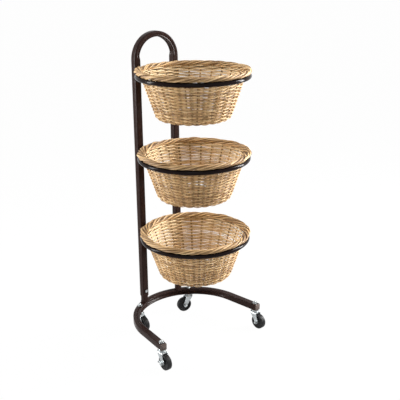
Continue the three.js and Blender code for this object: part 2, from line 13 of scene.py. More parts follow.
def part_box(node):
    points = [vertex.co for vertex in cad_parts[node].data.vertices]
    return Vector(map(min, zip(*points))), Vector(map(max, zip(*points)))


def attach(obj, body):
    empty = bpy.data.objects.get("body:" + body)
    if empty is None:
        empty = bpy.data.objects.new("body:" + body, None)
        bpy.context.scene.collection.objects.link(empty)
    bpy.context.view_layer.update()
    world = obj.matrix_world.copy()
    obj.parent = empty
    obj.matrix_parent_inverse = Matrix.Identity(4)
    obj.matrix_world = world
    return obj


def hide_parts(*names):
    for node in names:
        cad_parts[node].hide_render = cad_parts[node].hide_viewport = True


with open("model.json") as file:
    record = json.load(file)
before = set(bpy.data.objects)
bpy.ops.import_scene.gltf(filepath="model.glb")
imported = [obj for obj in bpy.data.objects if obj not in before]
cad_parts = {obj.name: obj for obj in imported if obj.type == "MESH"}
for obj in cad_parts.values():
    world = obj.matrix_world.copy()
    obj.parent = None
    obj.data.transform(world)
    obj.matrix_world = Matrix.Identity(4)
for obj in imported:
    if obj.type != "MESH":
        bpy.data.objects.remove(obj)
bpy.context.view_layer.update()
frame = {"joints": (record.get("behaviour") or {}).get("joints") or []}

# Lengths are in metres. Angles are in radians, or in degrees where a name or a docstring says so.
LOG = logging.getLogger("bread_rack")
FULL_TURN = 2.0 * math.pi
QUARTER_TURN = math.pi / 2
METAL_SHARP_DEGREES = 38.0
WICKER_SHARP_DEGREES = 80.0
FIRST_SEED = 11
Pair = tuple[float, float]
Point = tuple[float, float, float]
Colour = tuple[float, float, float, float]
WHITE: Colour = (1.0, 1.0, 1.0, 1.0)


class Slot(Enum):
    """Finishes of the rack, by the names that its record gives them."""

    BROWN_PAINT = "brown_paint"
    BLACK_PAINT = "black_paint"
    ZINC = "zinc"
    RUBBER = "rubber"
    PLUG = "plug"
    WICKER = "wicker"


class Tier(Enum):
    """The rack's three levels."""

    TOP = "top"
    MIDDLE = "middle"
    BOTTOM = "bottom"


class Side(Enum):
    """Sides of the stand, with the sign of X."""

    LEFT = -1
    RIGHT = 1

    @property
    def word(self) -> str:
        """The side's name in a node."""
        return self.name.lower()


class Place(Enum):
    """Corners of the base that stand on a caster."""

    FRONT_LEFT = "front_left"
    FRONT_RIGHT = "front_right"
    REAR_LEFT = "rear_left"
    REAR_RIGHT = "rear_right"


# Shader nodes and finishes


class Value:
    """A shader socket that takes part in Python arithmetic."""

    def __init__(self, board: "NodeBoard", socket: bpy.types.NodeSocket) -> None:
        """Wraps a socket of a board's tree."""
        self.board = board
        self.socket = socket

    def maths(self, operation: str, other: Any) -> "Value":
        """Adds a Math node on this value and another value or number."""
        return self.board.node("ShaderNodeMath", {"operation": operation}, {0: self, 1: other})

    def __add__(self, other: Any) -> "Value":
        """Sum."""
        return self.maths("ADD", other)

    __radd__ = __add__

    def __sub__(self, other: Any) -> "Value":
        """Difference."""
        return self.maths("SUBTRACT", other)

    def __mul__(self, other: Any) -> "Value":
        """Product."""
        return self.maths("MULTIPLY", other)

    __rmul__ = __mul__

    def or_(self, other: "Value") -> "Value":
        """The larger of two masks."""
        return self.maths("MAXIMUM", other)

    def above(self, low: float, high: float) -> "Value":
        """Makes a smooth step.

        Args:
            low: Level at which the mask is 0.
            high: Level at which it is 1.

        Returns:
            The mask.
        """
        settings = {"interpolation_type": "SMOOTHSTEP"}
        limits = {"Value": self, "From Min": low, "From Max": high}
        return self.board.node("ShaderNodeMapRange", settings, limits)


@dataclass(frozen=True)
class Grain:
    """A noise pattern: its scale, its detail and the levels between which its mask rises."""

    scale: float
    detail: float = 2.0
    low: float = 0.0
    high: float = 1.0


class NodeBoard:
    """A node tree that is written as a row of calls and expressions."""

    def __init__(self, tree: bpy.types.NodeTree) -> None:
        """Takes over a tree and empties it."""
        self.tree = tree
        self.tree.nodes.clear()

    def node(
        self,
        kind: str,
        settings: dict[str, Any] | None = None,
        inputs: dict[Any, Any] | None = None,
        output: int | str = 0,
    ) -> Value:
        """Adds one node.

        Args:
            kind: Blender's name of the node's type.
            settings: Properties that are set first; "stops" holds a ramp's positions and colours.
            inputs: Numbers, colours or values for its sockets, by name or place.
            output: Which of its sockets to return.

        Returns:
            The chosen output.
        """
        made = self.tree.nodes.new(kind)
        for key, setting in (settings or {}).items():
            if key == "stops":
                self._set_stops(made.color_ramp, setting)
            else:
                setattr(made, key, setting)
        for key, given in (inputs or {}).items():
            if isinstance(given, Value):
                self.tree.links.new(given.socket, made.inputs[key])
            else:
                made.inputs[key].default_value = given
        return Value(self, made.outputs[output] if made.outputs else None)

    @staticmethod
    def _set_stops(ramp: bpy.types.ColorRamp, stops: Sequence[tuple[float, Colour]]) -> None:
        """Gives a ramp its positions and colours.

        Args:
            ramp: The ramp.
            stops: Its positions and colours.
        """
        while len(ramp.elements) < len(stops):
            ramp.elements.new(1.0)
        for element, (position, colour) in zip(ramp.elements, stops):
            element.position = position
            element.color = colour

    def noise(self, vector: Value, grain: Grain) -> Value:
        """A cloudy pattern from 0 to 1."""
        inputs = {"Vector": vector, "Scale": grain.scale, "Detail": grain.detail}
        return self.node("ShaderNodeTexNoise", inputs=inputs, output="Fac")

    def mask(self, vector: Value, grain: Grain) -> Value:
        """A pattern that is cut at its own levels."""
        return self.noise(vector, grain).above(grain.low, grain.high)

    def blend(self, first: Any, second: Any, share: Any) -> Value:
        """Mixes two colours by a share of the second."""
        return self.node("ShaderNodeMix", {"data_type": "RGBA"}, {0: share, 6: first, 7: second}, output=2)

    def stretched(self, vector: Value, scale: Point) -> Value:
        """A vector scaled along each axis."""
        return self.node("ShaderNodeVectorMath", {"operation": "MULTIPLY"}, {0: vector, 1: scale})

    def bumps(self, height: Value, strength: float, depth: float) -> Value:
        """A normal that follows a height pattern."""
        inputs = {"Strength": strength, "Distance": depth, "Height": height}
        return self.node("ShaderNodeBump", inputs=inputs)

    def place(self) -> Value:
        """Coordinates in the rack's frame, in metres."""
        return self.node("ShaderNodeTexCoord", output="Object")

    def attribute(self, name: str) -> Value:
        """A number stored at the points of the mesh."""
        return self.node("ShaderNodeAttribute", {"attribute_name": name}, output="Fac")

    def surface(self, inputs: dict[str, Any]) -> None:
        """Ends the tree in a Principled shader with the given sockets."""
        shader = self.node("ShaderNodeBsdfPrincipled", inputs=inputs)
        self.node("ShaderNodeOutputMaterial", inputs={"Surface": shader})


class Finish(Protocol):
    """What every finish can do."""

    name: str

    def paint(self, board: NodeBoard) -> None:
        """Writes the finish's nodes on an empty board."""


def material_of(finish: Finish) -> bpy.types.Material:
    """Makes a material with a finish's nodes.

    Args:
        finish: The finish.

    Returns:
        The material.
    """
    material = bpy.data.materials.new(finish.name)
    material.use_nodes = True
    finish.paint(NodeBoard(material.node_tree))
    return material


@dataclass(frozen=True)
class Layer:
    """A noise pattern in a finish: how far it tints, roughens and raises the surface."""

    grain: Grain
    tint: float = 0.0
    roughness: float = 0.0
    mask_roughness: float = 0.0
    bump: Pair = (0.0, 0.0)
    stretch: Point = (1.0, 1.0, 1.0)


@dataclass(frozen=True)
class LayeredFinish:
    """A painted, plated or moulded surface, with its haze, wear, dust and grain in layers."""

    name: str
    colour: Colour
    worn: Colour
    roughness: float
    gloss: float
    layers: tuple[Layer, ...]
    metallic: float = 0.0
    coat: float = 0.0
    coat_roughness: float = 0.08

    def paint(self, board: NodeBoard) -> None:
        """Writes the layers' nodes; the last layer is the one that raises the surface.

        Args:
            board: An empty board.
        """
        place = board.place()
        colour: Any = self.colour
        roughness: Any = self.roughness
        for layer in self.layers:
            noise = board.noise(board.stretched(place, layer.stretch), layer.grain)
            mask = noise.above(layer.grain.low, layer.grain.high)
            colour = board.blend(colour, self.worn, mask * layer.tint)
            roughness = noise * layer.roughness + mask * layer.mask_roughness + roughness
        board.surface({
            "Base Color": colour,
            "Metallic": self.metallic,
            "Roughness": roughness,
            "Specular IOR Level": self.gloss,
            "Coat Weight": self.coat,
            "Coat Roughness": self.coat_roughness,
            "Normal": board.bumps(noise, *self.layers[-1].bump),
        })


@dataclass(frozen=True)
class PeeledWillow:
    """Peeled and varnished rods: each rod has its own tone, streaks along it and dark nodes."""

    name: str = "peeled willow"
    shadow: Colour = (0.08, 0.034, 0.010, 1.0)
    honey: Colour = (0.36, 0.205, 0.077, 1.0)
    straw: Colour = (0.72, 0.48, 0.225, 1.0)
    pale: Colour = (0.92, 0.74, 0.46, 1.0)
    ramp: tuple[float, float, float, float] = (0.0, 0.3, 0.6, 1.0)
    tone_weight: float = 0.75
    streak_weight: float = 0.5
    darker: float = 0.12
    streak: Grain = Grain(1.0, 4.0)
    streak_scale: Point = (26.0, 7.0, 53.0)
    streak_roughness: float = 0.24
    knot: Grain = Grain(1.0, 1.0, 0.66, 0.76)
    knot_scale: Pair = (11.0, 31.0)
    knot_share: float = 0.55
    grain: Grain = Grain(900.0, 3.0)
    grain_roughness: float = 0.1
    relief: Pair = (0.7, 0.3)
    bump: Pair = (0.35, 0.0007)
    roughness: float = 0.34
    gloss: float = 0.55

    def paint(self, board: NodeBoard) -> None:
        """Writes the willow's nodes.

        Args:
            board: An empty board.
        """
        # The tone holds each rod's own tone and also the painted light and painted shade that the basket
        # adds to it.
        tone = board.attribute("tone")
        run = board.attribute("run")
        turn = board.attribute("turn")
        by_run, by_turn, by_tone = self.streak_scale
        rod = {"X": run * by_run, "Y": turn * by_turn, "Z": tone * by_tone}
        streak = board.noise(board.node("ShaderNodeCombineXYZ", inputs=rod), self.streak)
        by_run, by_tone = self.knot_scale
        length = {"X": run * by_run, "Y": tone * by_tone}
        knot = board.mask(board.node("ShaderNodeCombineXYZ", inputs=length), self.knot)
        grain = board.noise(board.place(), self.grain)
        shade = tone * self.tone_weight + streak * self.streak_weight - self.darker
        stops = list(zip(self.ramp, (self.shadow, self.honey, self.straw, self.pale)))
        colour = board.node("ShaderNodeValToRGB", {"stops": stops}, {"Fac": shade}, output="Color")
        height = streak * self.relief[0] + grain * self.relief[1]
        board.surface({
            "Base Color": board.blend(colour, self.shadow, knot * self.knot_share),
            "Roughness": self.roughness + self.streak_roughness * streak + self.grain_roughness * grain,
            "Specular IOR Level": self.gloss,
            "Normal": board.bumps(height, *self.bump),
        })


PAINT_LAYERS = (
    Layer(Grain(14.0, 4.0, 0.35, 0.8), tint=0.4, roughness=0.08),
    Layer(Grain(70.0, 5.0, 0.4, 0.75), mask_roughness=0.16),
    Layer(Grain(1700.0, 2.0, 0.66, 0.78), tint=0.4),
    Layer(Grain(520.0), bump=(0.12, 0.0004)),
)
ZINC_LAYERS = (
    Layer(Grain(160.0, 4.0, 0.4, 0.72), tint=1.0, roughness=0.22),
    Layer(Grain(1.0), roughness=0.08, bump=(0.1, 0.0002), stretch=(300.0, 300.0, 2600.0)),
)
RUBBER_LAYERS = (
    Layer(Grain(110.0, 5.0, 0.45, 0.8), tint=0.7, mask_roughness=0.3),
    Layer(Grain(2400.0), roughness=0.08, bump=(0.15, 0.0002)),
)
PLUG_LAYERS = (
    Layer(Grain(190.0, 6.0, 0.5, 0.75), tint=0.5, mask_roughness=0.2),
    Layer(Grain(1900.0), roughness=0.1, bump=(0.18, 0.0002)),
)
FINISHES: dict[Slot, Finish] = {
    Slot.BROWN_PAINT: LayeredFinish(
        name="brown paint",
        colour=(0.019, 0.0085, 0.0068, 1.0),
        worn=(0.03, 0.017, 0.014, 1.0),
        roughness=0.18,
        gloss=0.06,
        layers=PAINT_LAYERS,
        coat=0.03,
    ),
    Slot.BLACK_PAINT: LayeredFinish(
        name="black paint",
        colour=(0.008, 0.0036, 0.0033, 1.0),
        worn=(0.012, 0.0065, 0.006, 1.0),
        roughness=0.07,
        gloss=0.05,
        layers=PAINT_LAYERS,
        coat=0.05,
    ),
    Slot.ZINC: LayeredFinish(
        name="zinc plate",
        colour=(0.50, 0.53, 0.54, 1.0),
        worn=(0.25, 0.27, 0.27, 1.0),
        roughness=0.22,
        gloss=0.5,
        layers=ZINC_LAYERS,
        metallic=1.0,
    ),
    Slot.RUBBER: LayeredFinish(
        name="wheel rubber",
        colour=(0.006, 0.006, 0.0065, 1.0),
        worn=(0.014, 0.0135, 0.013, 1.0),
        roughness=0.38,
        gloss=0.2,
        layers=RUBBER_LAYERS,
    ),
    Slot.PLUG: LayeredFinish(
        name="plug plastic",
        colour=(0.075, 0.052, 0.044, 1.0),
        worn=(0.16, 0.13, 0.115, 1.0),
        roughness=0.42,
        gloss=0.4,
        layers=PLUG_LAYERS,
    ),
    Slot.WICKER: PeeledWillow(),
}


# Meshes and the lines they follow


class Skin:
    """Lofted walls gathered into one mesh, which keeps a tone, a run and a turn at each point."""

    def __init__(self) -> None:
        """Starts with no points."""
        self._points: list[np.ndarray] = []
        self._marks: dict[str, list[np.ndarray]] = {"tone": [], "run": [], "turn": []}
        self._faces: list[list[int]] = []
        self._count = 0

    def loft(self, rings: np.ndarray, loop: bool = False, tone: Any = 0.5, run: Any = 0.0) -> "Skin":
        """Adds a closed body over a row of rings, with flat ends where it isn't a loop.

        Args:
            rings: Points by ring, place round the ring and axis.
            loop: Whether the last ring joins the first.
            tone: One tone, a tone for each ring, or a tone for each point of each ring.
            run: One distance, or a distance for each ring.

        Returns:
            The skin itself.
        """
        stations, around = rings.shape[:2]
        grid = np.arange(stations * around).reshape(stations, around)
        near = grid if loop else grid[:-1]
        far = np.roll(grid, -1, axis=0) if loop else grid[1:]
        quads = np.stack([near, np.roll(near, -1, 1), np.roll(far, -1, 1), far], -1).reshape(-1, 4)
        faces = quads.tolist()
        if not loop:
            faces.append(grid[0][::-1].tolist())
            faces.append(grid[-1].tolist())
        points = rings.reshape(-1, 3)
        if self._volume(points, faces) < 0:
            faces = [face[::-1] for face in faces]
        self._faces.extend([[i + self._count for i in face] for face in faces])
        self._count += len(points)
        self._points.append(points)
        turns = np.tile(np.arange(around) / around, (stations, 1))
        for name, mark in (("tone", tone), ("run", run)):
            column = np.asarray(mark, float)
            column = column if column.ndim == 2 else column.reshape(-1, 1)
            self._marks[name].append(np.broadcast_to(column, (stations, around)).ravel())
        self._marks["turn"].append(np.abs(2 * turns - 1).ravel())
        return self

    @staticmethod
    def _volume(points: np.ndarray, faces: Iterable[Sequence[int]]) -> float:
        """Measures the volume that faces enclose.

        Args:
            points: The points.
            faces: Places of each face's points.

        Returns:
            Six times the volume, negative where the faces look in.
        """
        total = 0.0
        by_size: dict[int, list[Sequence[int]]] = {}
        for face in faces:
            by_size.setdefault(len(face), []).append(face)
        for size, group in by_size.items():
            corners = points[np.asarray(group)]
            for k in range(1, size - 1):
                cross = np.cross(corners[:, k], corners[:, k + 1])
                total += float(np.einsum("ij,ij->", corners[:, 0], cross))
        return total

    def to_object(self, name: str, sharp_degrees: float = METAL_SHARP_DEGREES) -> bpy.types.Object:
        """Makes the object.

        Args:
            name: The piece's name.
            sharp_degrees: Edges that turn further than this stay sharp.

        Returns:
            A new object in the scene, with its points in the rack's frame.
        """
        mesh = bpy.data.meshes.new(name)
        mesh.from_pydata(np.concatenate(self._points).tolist(), [], self._faces)
        for mark, columns in self._marks.items():
            layer = mesh.attributes.new(mark, "FLOAT", "POINT")
            layer.data.foreach_set("value", np.concatenate(columns).astype(np.float32))
        mesh.shade_smooth()
        mesh.set_sharp_from_angle(angle=math.radians(sharp_degrees))
        piece = bpy.data.objects.new(name, mesh)
        bpy.context.scene.collection.objects.link(piece)
        return piece


class Workshop:
    """Dresses pieces and fixes them to the bodies of the frame."""

    def __init__(self) -> None:
        """Makes one material for each finish."""
        self.materials = {slot: material_of(finish) for slot, finish in FINISHES.items()}

    def fit(self, piece: bpy.types.Object, body: str, slot: Slot, *nodes: str) -> None:
        """Gives a piece its finish, the body that it moves with and the nodes that it stands for.

        Args:
            piece: The piece, in place.
            body: The body that carries it.
            slot: Its finish.
            nodes: The solids that it replaces.
        """
        piece.data.materials.clear()
        piece.data.materials.append(self.materials[slot])
        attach(piece, body)
        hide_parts(*nodes)
        LOG.info("%s rides on %s in %s", piece.name, body, slot.value)


def joint_of(name: str) -> dict[str, Any]:
    """Finds a joint of the frame by its name."""
    return next(joint for joint in frame["joints"] if joint["name"] == name)


def round_turn(count: int) -> np.ndarray:
    """Angles spread evenly once round."""
    return np.linspace(0.0, FULL_TURN, count, endpoint=False)


def upright(count: int) -> np.ndarray:
    """The upward direction at each of some points."""
    return np.tile([0.0, 0.0, 1.0], (count, 1))


def alternate(row: int) -> float:
    """The sign of a row, which changes from row to row."""
    return 1.0 if row % 2 == 0 else -1.0


def arc(centre: Pair, radius: float, start: float, end: float, steps: int) -> list[Pair]:
    """Points along an arc.

    Args:
        centre: The arc's centre.
        radius: Its radius.
        start: Its first angle in degrees.
        end: Its last angle in degrees.
        steps: How many pieces it has.

    Returns:
        The points, both ends among them.
    """
    angles = np.radians(np.linspace(start, end, steps + 1))
    return [(centre[0] + radius * math.cos(a), centre[1] + radius * math.sin(a)) for a in angles]


def smooth_step(share: np.ndarray) -> np.ndarray:
    """Eases a share from 0 to 1 at both ends."""
    held = np.clip(share, 0.0, 1.0)
    return held * held * (3.0 - 2.0 * held)


def revolved(profile: Sequence[Pair] | np.ndarray, segments: int) -> np.ndarray:
    """Rings of a profile turned about Z, to be lofted as a loop.

    Args:
        profile: Closed profile of (radius, height) points.
        segments: Steps in a turn.

    Returns:
        Rings by angle, each a copy of the profile.
    """
    angles = round_turn(segments)
    outline = np.asarray(profile)
    rings = np.empty((segments, len(outline), 3))
    rings[..., 0] = np.cos(angles)[:, None] * outline[:, 0]
    rings[..., 1] = np.sin(angles)[:, None] * outline[:, 0]
    rings[..., 2] = outline[:, 1]
    return rings


def stacked(radii: Sequence[Any], heights: Sequence[Any], angles: np.ndarray) -> np.ndarray:
    """Stacks rings along Z.

    Args:
        radii: A radius for each ring, or one for each angle of it.
        heights: Its heights, given likewise.
        angles: Angles of its points.

    Returns:
        The rings.
    """
    rings = np.empty((len(radii), len(angles), 3))
    for ring, radius, height in zip(rings, radii, heights):
        ring[:, 0] = np.cos(angles) * radius
        ring[:, 1] = np.sin(angles) * radius
        ring[:, 2] = height
    return rings


def turned(rings: np.ndarray, matrix: Matrix) -> np.ndarray:
    """Places rings by a matrix."""
    whole = np.asarray(matrix)
    return rings @ whole[:3, :3].T + whole[:3, 3]


def cord_rings(
    path: np.ndarray, normal: np.ndarray, thick: Any, wide: Any, sides: int, loop: bool
) -> np.ndarray:
    """Rings of a rod along a path.

    Args:
        path: Points of its middle line.
        normal: The direction of its thickness at each point.
        thick: Its thickness along the normal, in all or by point.
        wide: Its width across the normal, in all or by point.
        sides: Points in a ring.
        loop: Whether the path is closed.

    Returns:
        One ring for each point of the path.
    """
    if loop:
        ahead = np.roll(path, -1, 0) - np.roll(path, 1, 0)
    else:
        ahead = np.gradient(path, axis=0)
    ahead /= np.linalg.norm(ahead, axis=1, keepdims=True)
    across = np.cross(ahead, normal)
    across /= np.linalg.norm(across, axis=1, keepdims=True)
    outward = np.cross(across, ahead)
    angles = round_turn(sides)
    half_thick = np.broadcast_to(np.asarray(thick, float) / 2, len(path))[:, None, None]
    half_wide = np.broadcast_to(np.asarray(wide, float) / 2, len(path))[:, None, None]
    out = outward[:, None, :] * np.cos(angles)[None, :, None] * half_thick
    side = across[:, None, :] * np.sin(angles)[None, :, None] * half_wide
    return path[:, None, :] + out + side


def run_of(path: np.ndarray) -> np.ndarray:
    """Distance along a path at each of its points."""
    steps = np.linalg.norm(np.diff(path, axis=0), axis=1)
    return np.concatenate([[0.0], np.cumsum(steps)])


# Tubes, fasteners and the stand


@dataclass
class BentTube:
    """A square tube with one bend, folded in on the bend's inside wall as a press leaves it."""

    node: str
    centre: Vector
    right: Vector
    away: Vector
    side: Vector
    radius: float
    half_angle: float
    straight: float
    push: float
    groove: float
    valley: float
    size: float = 0.0254
    wall: float = 0.002
    corner: float = 0.003
    corner_steps: int = 5
    fold_width: float = 0.0085
    fold_steps: int = 11
    groove_steps: int = 7
    groove_power: float = 3.3
    crush_ramp: float = math.radians(14.0)
    bend_step: float = math.radians(2.5)

    def outline(self, crush: float) -> np.ndarray:
        """The tube's section.

        Args:
            crush: How far the bend has folded it, from 0 to 1.

        Returns:
            Points of (outward, sideways), once round.
        """
        half = self.size / 2
        shoulder = half - self.corner
        inside = crush * self.push - half
        upper = arc((shoulder, shoulder), self.corner, 0, 90, self.corner_steps)
        for share in np.linspace(0.0, 1.0, self.fold_steps + 1)[1:-1]:
            out = shoulder + share * (inside + self.corner - shoulder)
            fold = np.clip((out - inside - self.corner) / self.fold_width, 0.0, 1.0)
            upper.append((out, half - crush * self.valley * math.sin(math.pi * fold) ** 2))
        upper += arc((inside + self.corner, shoulder), self.corner, 90, 180, self.corner_steps)
        for share in np.linspace(1.0, 0.0, self.groove_steps + 1)[1:]:
            dip = math.cos(QUARTER_TURN * share) ** self.groove_power
            upper.append((inside + crush * self.groove * dip, share * shoulder))
        lower = [(out, -across) for out, across in upper[-2::-1]]
        return np.asarray(upper + lower)

    def _axes(self, angle: float) -> tuple[Vector, Vector]:
        """The bend's own directions.

        Args:
            angle: Angle from the middle of the bend.

        Returns:
            The direction out of the bend and the one along it.
        """
        out = self.right * math.sin(angle) + self.away * math.cos(angle)
        ahead = self.right * math.cos(angle) - self.away * math.sin(angle)
        return out, ahead

    def rings(self, inset: float) -> np.ndarray:
        """Rings along the tube.

        Args:
            inset: How far the section lies inside the outer skin.

        Returns:
            The section's points at each station.
        """
        steps = 2 * round(self.half_angle / self.bend_step)
        angles = np.linspace(-self.half_angle, self.half_angle, steps + 1)
        crushes = smooth_step((self.half_angle - np.abs(angles)) / self.crush_ramp)
        stations = [(-self.half_angle, -self.straight, 0.0)]
        stations += [(angle, 0.0, crush) for angle, crush in zip(angles, crushes)]
        stations += [(self.half_angle, self.straight, 0.0)]
        shrink = 1.0 - 2.0 * inset / self.size
        rows = []
        for angle, along, crush in stations:
            out, ahead = self._axes(angle)
            place = self.centre + out * self.radius + ahead * along
            section = self.outline(crush) * shrink
            rows.append([place + out * x + self.side * y for x, y in section])
        return np.asarray(rows)

    def end(self, sign: int) -> tuple[Vector, Vector]:
        """Finds one end of the tube.

        Args:
            sign: -1 for the left end and 1 for the right one.

        Returns:
            The middle of the end and the direction out of it.
        """
        out, along = self._axes(sign * self.half_angle)
        ahead = along * sign
        return self.centre + out * self.radius + ahead * self.straight, ahead

    def build(self, shop: Workshop) -> None:
        """Makes the hollow tube in place of its solid.

        Args:
            shop: The workshop that dresses it.
        """
        outer = self.rings(0.0)
        inner = self.rings(self.wall)
        both = np.concatenate([outer, inner[::-1]])
        piece = Skin().loft(both, loop=True).to_object(f"{self.node}_tube")
        shop.fit(piece, "frame", Slot.BROWN_PAINT, self.node)


def hoop_tube() -> BentTube:
    """The hoop: two uprights and the arch, sized by its solid.

    Returns:
        The hoop's tube.
    """
    low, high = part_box("hoop")
    half = BentTube.size / 2
    radius = (high.x - low.x) / 2 - half
    springing = high.z - half - radius
    return BentTube(
        node="hoop",
        centre=Vector((0.0, (low.y + high.y) / 2, springing)),
        right=Vector((1, 0, 0)),
        away=Vector((0, 0, 1)),
        side=Vector((0, -1, 0)),
        radius=radius,
        half_angle=QUARTER_TURN,
        straight=springing - low.z,
        push=0.005,
        groove=0.003,
        valley=0.0014,
    )


def base_horseshoe(
    radius: float = 0.221, half_angle: float = math.radians(83.4), straight: float = 0.1425
) -> BentTube:
    """The horseshoe base, set by the rear of its solid.

    Args:
        radius: The bend's radius at the tube's middle.
        half_angle: Half of the bend's angle.
        straight: The length of each straight leg.

    Returns:
        The base's tube.
    """
    low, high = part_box("base_tube")
    half = BentTube.size / 2
    return BentTube(
        node="base_tube",
        centre=Vector((0.0, high.y - half - radius, (low.z + high.z) / 2)),
        right=Vector((1, 0, 0)),
        away=Vector((0, 1, 0)),
        side=Vector((0, 0, 1)),
        radius=radius,
        half_angle=half_angle,
        straight=straight,
        push=0.0008,
        groove=0.006,
        valley=0.0018,
    )


@dataclass
class Hardware:
    """Hexagon bolts and nuts with chamfered corners and cut threads."""

    chamfer_slope: float = 0.55
    chamfer_flat: float = 0.94
    thread_pitch: float = 0.001
    thread_depth: float = 0.00045
    around: int = 48

    def hexagon(self, across: float, low: float, high: float) -> np.ndarray:
        """Rings of a hexagon along Z with its corners turned off.

        Args:
            across: Its size across the flats.
            low: Its lower face.
            high: Its upper face.

        Returns:
            Rings from the lower face to the upper one.
        """
        angles = round_turn(self.around)
        half_side = math.pi / 6
        spread = (angles + half_side) % (2 * half_side) - half_side
        radius = across / 2 / np.cos(spread)
        flat = across / 2 * self.chamfer_flat
        drop = (radius - flat) * self.chamfer_slope
        radii = [flat, radius, radius, flat]
        return stacked(radii, [low, low + drop, high - drop, high], angles)

    def shank(self, diameter: float, low: float, high: float) -> np.ndarray:
        """Rings of a threaded shank along Z with a turned tip at each end.

        Args:
            diameter: Its diameter over the thread.
            low: Its lower end.
            high: Its upper end.

        Returns:
            Rings from the lower end to the upper one.
        """
        angles = round_turn(self.around // 2)
        count = max(2, round((high - low) / self.thread_pitch))
        heights = np.linspace(low, high, 2 * count + 1)
        radii = diameter / 2 - self.thread_depth * (np.arange(len(heights)) % 2 == 0)
        return stacked(radii, heights, angles)

    def washer(self, radius: float, low: float, high: float) -> np.ndarray:
        """Rings of a thin round collar along Z.

        Args:
            radius: Its outer radius.
            low: Its lower face.
            high: Its upper face.

        Returns:
            Rings from the lower face to the upper one.
        """
        angles = round_turn(self.around)
        edge = (high - low) / 4
        radii = [radius - edge, radius, radius, radius - edge]
        return stacked(radii, [low, low + edge, high - edge, high], angles)


def rounded_square(width: float, height: float, corner: float, steps: int = 4) -> np.ndarray:
    """Points of a rectangle with round corners about the origin.

    Args:
        width: Its size along the first axis.
        height: Its size along the second.
        corner: The corners' radius.
        steps: Pieces in a corner.

    Returns:
        Points once round.
    """
    x = width / 2 - corner
    y = height / 2 - corner
    points: list[Pair] = []
    for quarter, (sign_x, sign_y) in enumerate([(1, 1), (-1, 1), (-1, -1), (1, -1)]):
        points += arc((sign_x * x, sign_y * y), corner, 90 * quarter, 90 * quarter + 90, steps)
    return np.asarray(points)


def bead_rings(
    path: np.ndarray, radius: float, loop: bool, sides: int = 10, depth: float = 0.16, pitch: float = 0.9
) -> np.ndarray:
    """Rings of a weld bead, with the ripples that the torch leaves.

    Args:
        path: Points of its middle line.
        radius: Its mean radius.
        loop: Whether it runs all the way round.
        sides: Points in a ring.
        depth: How far a ripple swells, as a share of the radius.
        pitch: Half the length of a ripple, as a share of the radius.

    Returns:
        One ring for each point.
    """
    size = 2 * radius * (1.0 + depth * np.cos(run_of(path) / (pitch * radius) * math.pi))
    return cord_rings(path, upright(len(path)), size, size, sides, loop)


